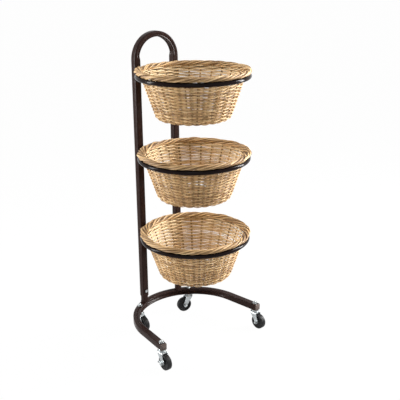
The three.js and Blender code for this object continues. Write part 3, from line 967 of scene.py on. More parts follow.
@dataclass
class Stand:
    """Everything that is fixed to the hoop and the base."""

    shop: Workshop
    base: BentTube
    hardware: Hardware
    post_corner: float = 0.0018
    post_weld: float = 0.0022
    post_weld_points: int = 160
    post_weld_corner_steps: int = 6
    plate_corner: float = 0.006
    plate_edge: float = 0.0006
    ring_segments: int = 180
    bar_sides: int = 24
    ring_weld: float = 0.0026
    ring_weld_half_length: float = 0.027
    ring_weld_points: int = 61
    ring_weld_back: float = 0.7
    ring_weld_drop: float = 0.4
    bolt_diameter: float = 0.006
    head_height: float = 0.004
    nut_height: float = 0.005
    bolt_tip: float = 0.003
    plug_flange: float = 0.0025
    plug_depth: float = 0.008
    plug_bevel: tuple[Pair, ...] = ((0.0, 0.0009), (0.0006, 0.0004), (0.002, 0.0))
    seat_gap: float = 0.0003

    def build(self) -> None:
        """Makes the posts, plugs, rings, plates and fasteners."""
        for side in Side:
            self._post(side)
            self._plug(side)
            self._bolt(f"post_bolt_{side.word}", with_nut=True)
        for tier in Tier:
            self._ring(tier)
            self._plate(tier)
            for side in Side:
                self._bolt(f"ring_bolt_{tier.value}_{side.word}", with_nut=False)
                self._nut(f"ring_nut_{tier.value}_{side.word}")

    def _post(self, side: Side) -> None:
        """A post with the weld bead round its foot.

        Args:
            side: The side that it stands on.
        """
        node = f"hoop_post_{side.word}"
        low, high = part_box(node)
        middle = (low + high) / 2
        width = high.x - low.x
        outline = rounded_square(width, width, self.post_corner)
        rings = np.empty((2, len(outline), 3))
        rings[..., :2] = outline + np.array(middle.xy)
        rings[..., 2] = np.array([[low.z], [high.z]])
        foot = rounded_square(width, width, self.base.corner, self.post_weld_corner_steps)
        closed = np.vstack([foot, foot[:1]])
        run = run_of(closed)
        spots = run[-1] * np.linspace(0.0, 1.0, self.post_weld_points, endpoint=False)
        path = np.empty((len(spots), 3))
        path[:, 0] = np.interp(spots, run, closed[:, 0]) + middle.x
        path[:, 1] = np.interp(spots, run, closed[:, 1]) + middle.y
        path[:, 2] = low.z + self.post_weld / 3
        skin = Skin().loft(rings).loft(bead_rings(path, self.post_weld, True), loop=True)
        self.shop.fit(skin.to_object(f"{node}_welded"), "frame", Slot.BROWN_PAINT, node)

    def _plug(self, side: Side) -> None:
        """A plug in a leg's end, with a bevelled flange.

        Args:
            side: The leg's side.
        """
        node = f"base_plug_{side.word}"
        place, ahead = self.base.end(side.value)
        across = Vector((-ahead.y, ahead.x, 0.0))
        size = self.base.size
        bore = size - 2 * self.base.wall - 2 * self.seat_gap
        face = self.seat_gap + self.plug_flange
        sections = [
            (bore, self.base.corner / 3, -self.plug_depth),
            (bore, self.base.corner / 3, self.seat_gap),
            (size, self.base.corner, self.seat_gap),
        ]
        sections += [(size - trim, self.base.corner, face - drop) for trim, drop in self.plug_bevel]
        rings = np.empty((len(sections), len(rounded_square(size, size, self.base.corner)), 3))
        for ring, (width, corner, depth) in zip(rings, sections):
            outline = rounded_square(width, width, corner)
            origin = place + ahead * depth
            ring[:] = np.array(origin) + outline[:, :1] * np.array(across)
            ring[:, 2] += outline[:, 1]
        self.shop.fit(Skin().loft(rings).to_object(f"{node}_moulding"), "frame", Slot.PLUG, node)

    def _ring(self, tier: Tier) -> None:
        """A ring of round bar with a weld to its plate.

        Args:
            tier: The ring's level.
        """
        node = f"ring_{tier.value}"
        low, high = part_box(node)
        middle = (low + high) / 2
        bar = high.z - low.z
        outer = (high.x - low.x) / 2
        turn = round_turn(self.bar_sides)
        section = np.stack([outer - bar / 2 + bar / 2 * np.cos(turn), bar / 2 * np.sin(turn)], -1)
        rings = turned(revolved(section, self.ring_segments), Matrix.Translation(middle))
        plate_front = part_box(f"ring_plate_{tier.value}")[0].y
        reach = self.ring_weld_half_length
        across = np.linspace(-reach, reach, self.ring_weld_points)
        path = np.empty((len(across), 3))
        path[:, 0] = middle.x + across
        path[:, 1] = plate_front - self.ring_weld_back * self.ring_weld
        path[:, 2] = middle.z - self.ring_weld_drop * bar
        skin = Skin().loft(rings, loop=True).loft(bead_rings(path, self.ring_weld, False))
        self.shop.fit(skin.to_object(f"{node}_bar"), "frame", Slot.BLACK_PAINT, node)

    def _plate(self, tier: Tier) -> None:
        """A flat plate with its edges broken.

        Args:
            tier: The plate's level.
        """
        node = f"ring_plate_{tier.value}"
        low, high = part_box(node)
        middle = (low + high) / 2
        edge = self.plate_edge
        rows = []
        for y, trim in ((low.y, 2 * edge), (low.y + edge, 0.0), (high.y - edge, 0.0), (high.y, 2 * edge)):
            outline = rounded_square(high.x - low.x - trim, high.z - low.z - trim, self.plate_corner)
            rows.append([(middle.x + x, y, middle.z + z) for x, z in outline])
        piece = Skin().loft(np.asarray(rows)).to_object(f"{node}_flat")
        self.shop.fit(piece, "frame", Slot.BLACK_PAINT, node)

    def _towards_front(self, node: str) -> Matrix:
        """Lays a piece made along Z along -Y, through the middle of a node.

        Args:
            node: The node.

        Returns:
            The matrix that does so.
        """
        low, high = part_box(node)
        middle = (low + high) / 2
        return Matrix.Translation((middle.x, 0.0, middle.z)) @ Matrix.Rotation(QUARTER_TURN, 4, "X")

    def _across(self, node: str) -> float:
        """A hexagon's size across its flats, from its node."""
        low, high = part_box(node)
        return min(high.x - low.x, high.z - low.z)

    def _bolt(self, node: str, with_nut: bool) -> None:
        """A bolt with its head to the front, and its nut where that is one piece with it.

        Args:
            node: The bolt's node.
            with_nut: Whether the node holds its nut too.
        """
        low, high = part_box(node)
        across = self._across(node)
        parts = [
            self.hardware.hexagon(across, -low.y - self.head_height, -low.y),
            self.hardware.shank(self.bolt_diameter, -high.y, -low.y - self.head_height / 2),
        ]
        if with_nut:
            under = -high.y + self.bolt_tip
            parts.append(self.hardware.hexagon(across, under, under + self.nut_height))
        self._fasten(node, parts)

    def _nut(self, node: str) -> None:
        """A nut behind the upright."""
        low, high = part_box(node)
        self._fasten(node, [self.hardware.hexagon(self._across(node), -high.y, -low.y)])

    def _fasten(self, node: str, parts: Sequence[np.ndarray]) -> None:
        """Lays the parts of a fastener in place of its solid.

        Args:
            node: The fastener's node.
            parts: Rings of each part, made along Z.
        """
        skin = Skin()
        for rings in parts:
            skin.loft(turned(rings, self._towards_front(node)))
        self.shop.fit(skin.to_object(f"{node}_hex"), "frame", Slot.ZINC, node)


# Baskets


@dataclass(frozen=True)
class RodTones:
    """How light rods are: their mean tone, its spread and the rods that follow in one row."""

    middle: float
    spread: float
    splices: int = 1


@dataclass(frozen=True)
class StakeSizes:
    """The upright rods, which stand in pairs and turn in at the floor."""

    diameter: float = 0.0032
    sides: int = 7
    points: int = 26
    apart: float = 0.54
    stray: float = 0.0006
    above: float = 0.006
    foot: Pair = (0.6, 0.98)
    foot_points: int = 6
    tones: RodTones = RodTones(0.3, 0.12)


@dataclass(frozen=True)
class WeaverSizes:
    """The rods of the wall, row above row."""

    row_pitch: float = 0.0061
    wide: float = 0.0058
    thick: float = 0.0031
    thick_spread: float = 0.07
    narrowing: float = 0.1
    points: int = 7
    ease: float = 0.75
    tones: RodTones = RodTones(0.7, 0.2, 4)
    # Painted shade where a weaver crosses from front to back between stakes.
    painted_dive_shade: float = 0.7
    dive_power: int = 4
    drift: float = 0.0006
    drift_waves: tuple[Pair, ...] = ((2, 1.5), (5, 2.5), (8, 3.5))


@dataclass(frozen=True)
class BorderSizes:
    """The rods that wind round a core along the rim."""

    turns: int = 6
    rods: int = 6
    rod: float = 0.0064
    rod_spread: float = 0.1
    flatness: float = 0.8
    points: int = 64
    middle: Pair = (-0.0044, 0.0164)
    half: Pair = (0.0115, 0.0066)
    lean: float = math.radians(-12.0)
    sway: float = 0.3
    sway_waves: int = 5
    lift: float = 0.15
    lift_waves: int = 9
    phase: float = 6.0
    tones: RodTones = RodTones(0.62, 0.16, 13)
    core_share: float = 0.8
    core_sides: int = 12
    core_segments: int = 90


@dataclass(frozen=True)
class FloorSizes:
    """The spokes of the floor and the rods woven round them."""

    radius: float = 0.116
    spokes: int = 16
    pitch: float = 0.0052
    first: float = 0.006
    split: float = 0.45
    drop: float = 0.0004
    overlap: float = 0.004
    points: int = 8
    swing: float = 0.7
    rod: Pair = (0.8, 0.95)
    tones: RodTones = RodTones(0.48, 0.15, 3)
    spoke_start: float = 0.002
    spoke_points: int = 12
    spoke_wide: float = 1.3
    spoke_tone: float = 0.45


@dataclass
class Basket:
    """A round willow basket: paired stakes, woven wall, woven floor and a rolled border on its ring."""

    tier: Tier
    shop: Workshop
    seed: int
    stakes: int = 26
    rod_sides: int = 8
    rod_spread: float = 0.08
    # Painted light on rods' inner faces and painted shade on their outer faces.
    painted_inside_light: float = 0.8
    painted_outside_shade: float = -0.12
    # Painted shade along each rod's two edges, in the crevices where rows meet.
    painted_crevice_shade: float = 0.8
    edge_power: int = 4
    tone_limits: Pair = (0.02, 0.98)
    wall_above: Pair = (0.001, 0.003)
    corner: float = 0.024
    ring_clearance: float = 0.0006
    stake: StakeSizes = StakeSizes()
    weaver: WeaverSizes = WeaverSizes()
    border: BorderSizes = BorderSizes()
    floor: FloorSizes = FloorSizes()

    def __post_init__(self) -> None:
        """Takes the basket's place from its solid and its ring."""
        self.node = f"basket_{self.tier.value}"
        self.random = np.random.default_rng(self.seed)
        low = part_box(self.node)[0]
        ring_low, ring_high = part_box(f"ring_{self.tier.value}")
        ring = (ring_low + ring_high) / 2
        self.axis = np.array([ring.x, ring.y, ring.z])
        self.ring_bar = ring_high.z - ring_low.z
        self.ring_outer = (ring_high.x - ring_low.x) / 2
        self.neck = self.ring_outer - self.ring_bar - self.ring_clearance
        self.bottom = low.z - ring.z
        self.amplitude = (self.stake.diameter + self.weaver.thick) / 2
        self.inset = self.amplitude + self.weaver.thick / 2
        self._measure_wall()

    def _measure_wall(self) -> None:
        """Works out the wall's middle line: a round corner, then a straight lean to the neck."""
        rise = -self.bottom - self.corner
        reach = self.neck - self.floor.radius - self.corner
        self.corner_turn = QUARTER_TURN - math.atan2(reach, rise)
        self.corner_run = (self.corner - self.inset) * self.corner_turn
        top_of_corner = self._on_corner(self.corner_turn)
        outward, above = self.wall_above
        top = np.array([self.neck - self.inset + outward, self.ring_bar / 2 + above])
        wall_run = float(np.linalg.norm(top - top_of_corner))
        self.wall_start = top_of_corner
        self.wall_along = (top - top_of_corner) / wall_run
        self.full_run = self.corner_run + wall_run

    def _on_corner(self, turn: Any) -> np.ndarray:
        """The middle line of the round corner.

        Args:
            turn: Angles round the corner, from the floor up.

        Returns:
            Points of (radius, height).
        """
        bend = self.corner - self.inset
        radius = self.floor.radius + bend * np.sin(turn)
        height = self.bottom + self.corner - bend * np.cos(turn)
        return np.stack(np.broadcast_arrays(radius, height), -1)

    def wall(self, run: np.ndarray) -> tuple[np.ndarray, np.ndarray]:
        """The wall's middle line.

        Args:
            run: Distances up the wall from the floor's edge.

        Returns:
            Points of (radius, height) and the outward normals there.
        """
        turn = np.clip(run / self.corner_run, 0.0, 1.0) * self.corner_turn
        above = np.clip(run - self.corner_run, 0.0, None)[:, None]
        straight = run[:, None] > self.corner_run
        point = np.where(straight, self.wall_start + above * self.wall_along, self._on_corner(turn))
        round_normal = np.stack([np.sin(turn), -np.cos(turn)], -1)
        flat_normal = np.array([self.wall_along[1], -self.wall_along[0]])
        return point, np.where(straight, flat_normal, round_normal)

    @staticmethod
    def _swung_normal(normal: np.ndarray, angle: np.ndarray) -> np.ndarray:
        """Swings (outward, upward) directions round the axis."""
        return np.stack([np.cos(angle) * normal[:, 0], np.sin(angle) * normal[:, 0], normal[:, 1]], -1)

    def _swung(self, point: np.ndarray, angle: np.ndarray) -> np.ndarray:
        """Swings (radius, height) points round the ring's axis."""
        return self._swung_normal(point, angle) + self.axis

    def _varied(self, size: float, spread: float) -> float:
        """A rod's own size about a mean size."""
        return size * (1.0 + spread * self.random.standard_normal())

    def _spliced(self, count: int, tones: RodTones) -> np.ndarray:
        """Tones along a row, which change where one rod ends and the next begins.

        Args:
            count: Points along the row.
            tones: The tones of its rods.

        Returns:
            A tone for each point.
        """
        ends = np.sort(self.random.integers(0, count, tones.splices))
        rod = np.searchsorted(ends, np.arange(count)) % tones.splices
        own = tones.middle + tones.spread * self.random.standard_normal(tones.splices)
        return np.clip(own[rod], *self.tone_limits)

    def _two_faced(self, tone: np.ndarray) -> np.ndarray:
        """Tones with painted light on a rod's inner face, painted shade on its outer face and painted shade
        along its two edges, where rows meet.

        Args:
            tone: A tone for each ring of the rod, whose first point faces out.

        Returns:
            A tone for each point of each ring.
        """
        turn = round_turn(self.rod_sides)
        outward, edge = np.cos(turn), np.sin(turn) ** self.edge_power
        # Painted light on the face that looks into the basket, painted shade on the face that looks out.
        shift = np.where(outward < 0.0, -self.painted_inside_light * outward, self.painted_outside_shade * outward)
        # Painted shade along the rod's two edges.
        return np.clip(tone[:, None] + shift - self.painted_crevice_shade * edge, 0.0, 1.0)

    def _weavers(self) -> Skin:
        """Rows of rods woven before and behind the stakes.

        Returns:
            The rows in one skin.
        """
        skin = Skin()
        angle = round_turn(self.weaver.points * self.stakes)
        wave = np.cos(self.stakes / 2 * angle)
        eased = np.sign(wave) * np.abs(wave) ** self.weaver.ease
        narrowed = 1.0 - self.weaver.narrowing + self.weaver.narrowing * np.abs(wave)
        dive = (1.0 - np.abs(wave)) ** self.weaver.dive_power
        for row in range(int(self.full_run / self.weaver.row_pitch)):
            starts = self.random.uniform(0.0, FULL_TURN, len(self.weaver.drift_waves))
            waves = zip(self.weaver.drift_waves, starts)
            drift = sum(np.sin(count * angle + start) / damping for (count, damping), start in waves)
            point, normal = self.wall((row + 0.5) * self.weaver.row_pitch + self.weaver.drift * drift)
            path = self._swung(point + alternate(row) * self.amplitude * eased[:, None] * normal, angle)
            thick = self._varied(self.weaver.thick, self.weaver.thick_spread)
            wide = self._varied(self.weaver.wide, self.rod_spread) * narrowed
            rings = cord_rings(path, self._swung_normal(normal, angle), thick, wide, self.rod_sides, True)
            # Painted shade where the weaver crosses between stakes, in the recess of the weave.
            tone = self._spliced(len(angle), self.weaver.tones) - self.weaver.painted_dive_shade * dive
            skin.loft(rings, loop=True, tone=self._two_faced(tone), run=run_of(path) + row)
        return skin

    def _stakes(self) -> Skin:
        """Pairs of stakes with their feet in the floor and their tops in the border.

        Returns:
            The stakes in one skin.
        """
        skin = Skin()
        point, normal = self.wall(np.linspace(0.0, self.full_run + self.stake.above, self.stake.points))
        count = self.stake.foot_points
        shares = np.linspace(*self.stake.foot, count)
        line = np.vstack([np.stack([shares * self.floor.radius, np.full(count, point[0, 1])], -1), point])
        facing = np.vstack([np.tile([0.0, -1.0], (count, 1)), normal])
        for stake in range(self.stakes):
            for hand in (-1, 1):
                stray = self.stake.stray * self.random.standard_normal()
                aside = hand * self.stake.apart * self.stake.diameter + stray
                angle = FULL_TURN * stake / self.stakes + aside / line[:, 0]
                path = self._swung(line, angle)
                size = self._varied(self.stake.diameter, self.rod_spread)
                outward = self._swung_normal(facing, angle)
                rings = cord_rings(path, outward, size, size, self.stake.sides, False)
                tone = self.stake.tones.middle + self.stake.tones.spread * self.random.standard_normal()
                skin.loft(rings, tone=np.clip(tone, *self.tone_limits), run=run_of(path) + stake)
        return skin

    def _border(self) -> Skin:
        """The rolled border: rods that wind round a core along the rim, the core at the darkest tone as
        painted shade in the gaps between them.

        Returns:
            The border's skin.
        """
        skin = Skin()
        middle = np.array(self.border.middle) + np.array([self.ring_outer - self.ring_bar / 2, 0.0])
        half = np.array(self.border.half)
        cos, sin = math.cos(self.border.lean), math.sin(self.border.lean)
        leaning = np.array([[cos, -sin], [sin, cos]])
        angle = round_turn(self.border.points * self.border.turns)
        for rod in range(self.border.rods):
            start = self.random.uniform(0.0, self.border.phase)
            sway = self.border.sway * np.sin(self.border.sway_waves * angle + start)
            turn = self.border.turns * angle + FULL_TURN * rod / self.border.rods + sway
            start = self.random.uniform(0.0, self.border.phase)
            lift = 1.0 + self.border.lift * np.sin(self.border.lift_waves * angle + start)
            around = np.stack([np.cos(turn), np.sin(turn)], -1)
            facing = around / half
            facing /= np.linalg.norm(facing, axis=1, keepdims=True)
            outward = self._swung_normal(facing @ leaning, angle)
            path = self._swung(middle + (around * half * lift[:, None]) @ leaning, angle)
            size = self._varied(self.border.rod, self.border.rod_spread)
            rings = cord_rings(path, outward, self.border.flatness * size, size, self.rod_sides, True)
            tone = self._two_faced(self._spliced(len(angle), self.border.tones))
            skin.loft(rings, loop=True, tone=tone, run=run_of(path) + rod)
        turn = round_turn(self.border.core_sides)
        around = np.stack([np.cos(turn), np.sin(turn)], -1)
        core = middle + (self.border.core_share * around * half) @ leaning
        rings = turned(revolved(core, self.border.core_segments), Matrix.Translation(self.axis))
        # The core takes the darkest tone: painted shade that shows through the gaps between the rods.
        skin.loft(rings, loop=True, tone=0.0)
        return skin

    def _floor(self) -> Skin:
        """The floor: spokes from the centre, with rods woven round them.

        Returns:
            The floor's skin.
        """
        skin = Skin()
        level = self.bottom + self.inset - self.floor.drop
        edge = self.floor.radius + self.floor.overlap
        split = self.floor.split * edge
        spokes = 2 * self.floor.spokes
        count = self.floor.spoke_points
        for spoke in range(spokes):
            radius = np.linspace(self.floor.spoke_start if spoke % 2 == 0 else split, edge, count)
            line = np.stack([radius, np.full(count, level)], -1)
            path = self._swung(line, np.full(count, FULL_TURN * spoke / spokes))
            wide = self.floor.spoke_wide * self.stake.diameter
            rings = cord_rings(path, upright(count), self.stake.diameter, wide, self.stake.sides, False)
            skin.loft(rings, tone=self.floor.spoke_tone, run=run_of(path) + spoke)
        thick, wide = self.floor.rod[0] * self.weaver.thick, self.floor.rod[1] * self.weaver.wide
        for row, radius in enumerate(np.arange(self.floor.first, edge, self.floor.pitch)):
            crossed = self.floor.spokes if radius < split else spokes
            angle = round_turn(self.floor.points * crossed)
            swing = alternate(row) * self.floor.swing * self.amplitude
            height = level + swing * np.cos(crossed / 2 * angle)
            path = self._swung(np.stack([np.full_like(angle, radius), height], -1), angle)
            rings = cord_rings(path, upright(len(angle)), thick, wide, self.stake.sides, True)
            tone = self._spliced(len(angle), self.floor.tones)
            skin.loft(rings, loop=True, tone=tone, run=run_of(path) + row)
        return skin

    def build(self) -> None:
        """Makes the basket's pieces and sets them in the ring."""
        makers = (self._weavers, self._stakes, self._border, self._floor)
        for kind, make in zip(("weavers", "stakes", "border", "floor"), makers):
            piece = make().to_object(f"{self.node}_{kind}", WICKER_SHARP_DEGREES)
            self.shop.fit(piece, self.node, Slot.WICKER, self.node)


# Casters


@dataclass(frozen=True)
class ForkSizes:
    """The pressed fork, from its bridge down to the round eyes at the axle."""

    bend: float = 0.0045
    back: float = 0.013
    front: float = 0.017
    edge: float = 0.0006
    leg_points: int = 16
    bend_points: int = 7
    eye_radius: float = 0.008
    eye_share: float = 0.995


@dataclass(frozen=True)
class StemSizes:
    """The threaded stem and the nut that holds it on the base."""

    diameter: float = 0.0095
    head: float = 0.008
    head_height: float = 0.0025
    nut_across: float = 0.016
    collar_share: float = 0.56
    collar_height: float = 0.0012


@dataclass(frozen=True)
class AxleSizes:
    """The axle bolt and its nuts."""

    diameter: float = 0.008
    half: float = 0.024
    nut_across: float = 0.013
    nut_height: float = 0.005


@dataclass(frozen=True)
class RaceSizes:
    """The raceway cup under the base."""

    radius: float = 0.016
    neck: float = 0.0125
    lip: float = 0.0032
    roll: float = 0.0012
    fillet: float = 0.0003
    bevel: float = 0.0008
    steps: int = 4
    segments: int = 64


@dataclass(frozen=True)
class WheelSizes:
    """Half of the wheel's profile: depths under the tread, or radii at the hub, and half widths there."""

    tread: tuple[Pair, ...] = ((0.0, 0.0), (0.0001, 0.004), (0.0005, 0.0068))
    side: tuple[Pair, ...] = ((0.0072, 0.01), (0.008, 0.0094), (0.0084, 0.0078), (0.0096, 0.0067))
    hub: tuple[Pair, ...] = ((0.0118, 0.0064), (0.0102, 0.0069), (0.0094, 0.008), (0.009, 0.0102))
    shoulder_middle: Pair = (0.0032, 0.0072)
    shoulder_radius: float = 0.0028
    shoulder_degrees: float = 10.0
    shoulder_steps: int = 6
    hub_face: float = 0.0082
    segments: int = 96


@dataclass(frozen=True)
class RockerSizes:
    """The brake rocker: its two arms, their pedals and its tilt at rest."""

    arm: float = 0.021
    width: float = 0.007
    thinness: float = 0.9
    eye: float = 0.007
    pedal: float = 0.0055
    bend: float = 0.0022
    arm_points: int = 5
    bend_points: int = 6
    rise: float = math.radians(24.0)
    tip: float = math.radians(27.0)


@dataclass
class Caster:
    """A swivel caster: stem, nut, raceway, pressed fork, axle and wheel."""

    place: Place
    shop: Workshop
    hardware: Hardware
    braked: bool
    hub_half: float = 0.011
    run_gap: float = 0.0003
    sheet: float = 0.0025
    fork: ForkSizes = ForkSizes()
    stem: StemSizes = StemSizes()
    axle: AxleSizes = AxleSizes()
    race: RaceSizes = RaceSizes()
    wheel: WheelSizes = WheelSizes()
    rocker: RockerSizes = RockerSizes()

    def __post_init__(self) -> None:
        """Takes the caster's place and heading from its joints."""
        swivel = Vector(joint_of(f"caster_swivel_{self.place.value}")["pos_m"])
        hub = Vector(joint_of(f"wheel_spin_{self.place.value}")["pos_m"])
        trail = hub.xy - swivel.xy
        self.trail = trail.length
        self.axle_height = hub.z
        heading = math.atan2(trail.x, -trail.y)
        self.matrix = Matrix.Translation((swivel.x, swivel.y, 0.0)) @ Matrix.Rotation(heading, 4, "Z")
        self.fork_outer = self.hub_half + self.run_gap + self.sheet
        self.hub_matrix = self.matrix @ Matrix.Translation((0.0, -self.trail, self.axle_height))
        self.axle_matrix = self.hub_matrix @ Matrix.Rotation(QUARTER_TURN, 4, "Y")

    def build(self) -> None:
        """Makes the caster's pieces in place of their solids."""
        where = self.place.value
        pieces = [
            ("caster_stem", self._stem, "frame", Slot.ZINC),
            ("caster_nut", self._stem_nut, "frame", Slot.ZINC),
            ("caster_race", self._race, "frame", Slot.ZINC),
            ("caster_fork", self._fork, f"caster_{where}", Slot.ZINC),
            ("caster_axle", self._axle, f"caster_{where}", Slot.ZINC),
            ("caster_wheel", self._wheel, f"wheel_{where}", Slot.RUBBER),
        ]
        if self.braked:
            pieces.append(("brake_rocker", self._rocker, "brake_rocker", Slot.ZINC))
        for kind, make, body, slot in pieces:
            node = f"{kind}_{where}"
            self.shop.fit(make().to_object(f"{node}_made"), body, slot, node)

    def _stem(self) -> Skin:
        """A threaded stud with a round head under the fork's bridge.

        Returns:
            The stem's skin.
        """
        low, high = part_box(f"caster_stem_{self.place.value}")
        head = self.hardware.washer(self.stem.head, low.z, low.z + self.stem.head_height)
        shank = self.hardware.shank(self.stem.diameter, low.z + self.stem.head_height / 2, high.z)
        return Skin().loft(turned(head, self.matrix)).loft(turned(shank, self.matrix))

    def _stem_nut(self) -> Skin:
        """The nut on top of the base, on a thin washer.

        Returns:
            The nut's skin.
        """
        low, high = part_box(f"caster_nut_{self.place.value}")
        collar = low.z + self.stem.collar_height
        washer = self.hardware.washer(self.stem.collar_share * self.stem.nut_across, low.z, collar)
        body = self.hardware.hexagon(self.stem.nut_across, collar, high.z)
        return Skin().loft(turned(washer, self.matrix)).loft(turned(body, self.matrix))

    def _race(self) -> Skin:
        """The raceway: a rolled lower lip, a shadow line and a neck up to the base.

        Returns:
            The raceway's skin.
        """
        low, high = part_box(f"caster_race_{self.place.value}")
        bore = self.stem.diameter / 2 + self.run_gap
        roll, neck, steps = self.race.roll, self.race.neck, self.race.steps
        rolled = self.race.radius - roll
        lip = low.z + self.race.lip
        profile = [(bore, low.z), (rolled, low.z)]
        profile += arc((rolled, low.z + roll), roll, -90, 0, steps)[1:]
        profile += [(self.race.radius, lip - roll)]
        profile += arc((rolled, lip - roll), roll, 0, 90, steps)[1:]
        profile += [(neck + roll, lip), (neck + self.race.fillet, lip + self.race.fillet)]
        profile += [(neck, lip + roll), (neck, high.z - self.race.bevel)]
        profile += [(neck - self.race.bevel, high.z), (bore, high.z)]
        return Skin().loft(turned(revolved(profile, self.race.segments), self.matrix), loop=True)

    def _leg_edges(self, height: np.ndarray) -> tuple[np.ndarray, np.ndarray]:
        """The fork leg's rear and front edges.

        Args:
            height: Heights along the leg.

        Returns:
            Distances ahead of the stem, at the rear and at the front.
        """
        top = self._bridge_top()
        eye = Vector((self.trail, self.axle_height))
        edges = []
        for start, sign in ((-self.fork.back, -1.0), (self.fork.front, 1.0)):
            apart = eye - Vector((start, top))
            turn = math.atan2(apart.y, apart.x) + sign * math.asin(self.fork.eye_radius / apart.length)
            reach = math.sqrt(apart.length_squared - self.fork.eye_radius**2)
            touch = Vector((start + reach * math.cos(turn), top + reach * math.sin(turn)))
            straight = start + (height - top) * (touch.x - start) / (touch.y - top)
            below = np.clip(self.fork.eye_radius**2 - (height - eye.y) ** 2, 0.0, None)
            edges.append(np.where(height > touch.y, straight, eye.x + sign * np.sqrt(below)))
        return edges[0], edges[1]

    def _bridge_top(self) -> float:
        """Height of the fork's top face."""
        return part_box(f"caster_fork_{self.place.value}")[1].z

    def _fork(self) -> Skin:
        """One sheet bent into a bridge and two tapered legs with round ends.

        Returns:
            The fork's skin.
        """
        top = self._bridge_top()
        bend = self.fork.bend
        outer = self.fork_outer
        lowest = self.axle_height - self.fork.eye_share * self.fork.eye_radius
        spread = np.sin(np.linspace(0.0, QUARTER_TURN, self.fork.leg_points)) ** 2
        half = [(-outer, z, -1.0, 0.0) for z in lowest + spread * (top - bend - lowest)]
        for angle in np.linspace(math.pi, QUARTER_TURN, self.fork.bend_points)[1:]:
            x, z = math.cos(angle), math.sin(angle)
            half.append((-outer + bend + bend * x, top - bend + bend * z, x, z))
        stations = np.asarray(half + [(-x, z, -nx, nz) for x, z, nx, nz in half[::-1]])
        rear, front = self._leg_edges(stations[:, 1])
        edge = np.minimum(self.fork.edge, (front - rear) / 4)
        outline = [(rear, 0.5), (rear + edge, 0.0), (front - edge, 0.0)]
        outline += [(front, 0.5), (front - edge, 1.0), (rear + edge, 1.0)]
        sections = []
        for side, depth in outline:
            x, z = (stations[:, :2] - depth * self.sheet * stations[:, 2:]).T
            sections.append(np.stack([x, -side, z], -1))
        return Skin().loft(turned(np.stack(sections, 1), self.matrix))

    def _axle(self) -> Skin:
        """A bolt through both eyes with a nut at each fork leg.

        Returns:
            The axle's skin.
        """
        room = self.sheet + self.run_gap if self.braked else 0.0
        face = self.fork_outer + self.run_gap
        skin = Skin()
        for low in (face, -face - room - self.axle.nut_height):
            rings = self.hardware.hexagon(self.axle.nut_across, low, low + self.axle.nut_height)
            skin.loft(turned(rings, self.axle_matrix))
        shank = self.hardware.shank(self.axle.diameter, -self.axle.half, self.axle.half)
        return skin.loft(turned(shank, self.axle_matrix))

    def _wheel(self) -> Skin:
        """A wheel with a crowned tread, a recessed web and a hub.

        Returns:
            The wheel's skin.
        """
        radius = self.axle_height
        bore = self.axle.diameter / 2 + self.run_gap
        wheel = self.wheel
        middle = (radius - wheel.shoulder_middle[0], wheel.shoulder_middle[1])
        half = [(radius - below, z) for below, z in wheel.tread]
        half += arc(middle, wheel.shoulder_radius, wheel.shoulder_degrees, 90, wheel.shoulder_steps)
        half += [(radius - below, z) for below, z in wheel.side]
        half += [*wheel.hub, (wheel.hub_face, self.hub_half), (bore, self.hub_half)]
        mirrored = [(r, -z) for r, z in half[:0:-1]]
        rings = revolved(half + mirrored, wheel.segments)
        return Skin().loft(turned(rings, self.axle_matrix), loop=True)

    def _rocker(self) -> Skin:
        """A shallow V of sheet on the axle with a pedal turned out at each end.

        Returns:
            The rocker's skin.
        """
        inner = -(self.fork_outer + self.run_gap)
        level = inner - self.sheet / 2
        bend = self.rocker.bend
        reach = self.rocker.arm - self.sheet / 2
        flat = [(level, d) for d in np.linspace(0.0, reach - bend, self.rocker.arm_points)]
        for a in np.linspace(0.0, QUARTER_TURN, self.rocker.bend_points)[1:]:
            flat.append((level - bend * (1 - math.cos(a)), reach - bend + bend * math.sin(a)))
        flat.append((inner - self.rocker.pedal, reach))
        eye = self.hardware.washer(self.rocker.eye, inner - self.sheet, inner)
        skin = Skin().loft(turned(eye, self.axle_matrix))
        for hand in (-1, 1):
            rise = self.rocker.rise - hand * self.rocker.tip
            along = np.array([0.0, hand * math.cos(rise), math.sin(rise)])
            wide = np.array([0.0, -hand * math.sin(rise), math.cos(rise)])
            path = np.asarray([np.array([x, 0.0, 0.0]) + along * d for x, d in flat])
            rings = strip_rings(path, wide, self.rocker.width, self.rocker.thinness * self.sheet)
            skin.loft(turned(rings, self.hub_matrix))
        return skin


def strip_rings(path: np.ndarray, wide: np.ndarray, width: float, thick: float) -> np.ndarray:
    """Rings of a flat strip with broken edges.

    Args:
        path: Points of its middle line.
        wide: The direction of its width.
        width: Its width.
        thick: Its thickness.

    Returns:
        One ring of eight points for each point of the path.
    """
    ahead = np.gradient(path, axis=0)
    ahead /= np.linalg.norm(ahead, axis=1, keepdims=True)
    facing = np.cross(ahead, wide)
    edge = thick / 4
    x, y = width / 2, thick / 2
    outline = [(x, edge - y), (x, y - edge), (x - edge, y), (edge - x, y)]
    outline += [(-x, y - edge), (-x, edge - y), (edge - x, -y), (x - edge, -y)]
    return np.stack([path + a * wide + b * facing for a, b in outline], 1)


# Studio


@dataclass(frozen=True)
class Lamp:
    """A soft light: where it hangs, its width and height, and its power in watts."""

    name: str
    place: Point
    size: Pair
    power: float

    def hang(self, target: Point) -> None:
        """Hangs the light so that it faces a target.

        Args:
            target: The point that it faces.
        """
        light = bpy.data.lights.new(self.name, "AREA")
        light.energy = self.power
        light.shape = "RECTANGLE"
        light.size, light.size_y = self.size
        lamp = bpy.data.objects.new(self.name, light)
        lamp.location = self.place
        lamp.rotation_euler = (Vector(target) - Vector(self.place)).to_track_quat("-Z", "Y").to_euler()
        bpy.context.scene.collection.objects.link(lamp)


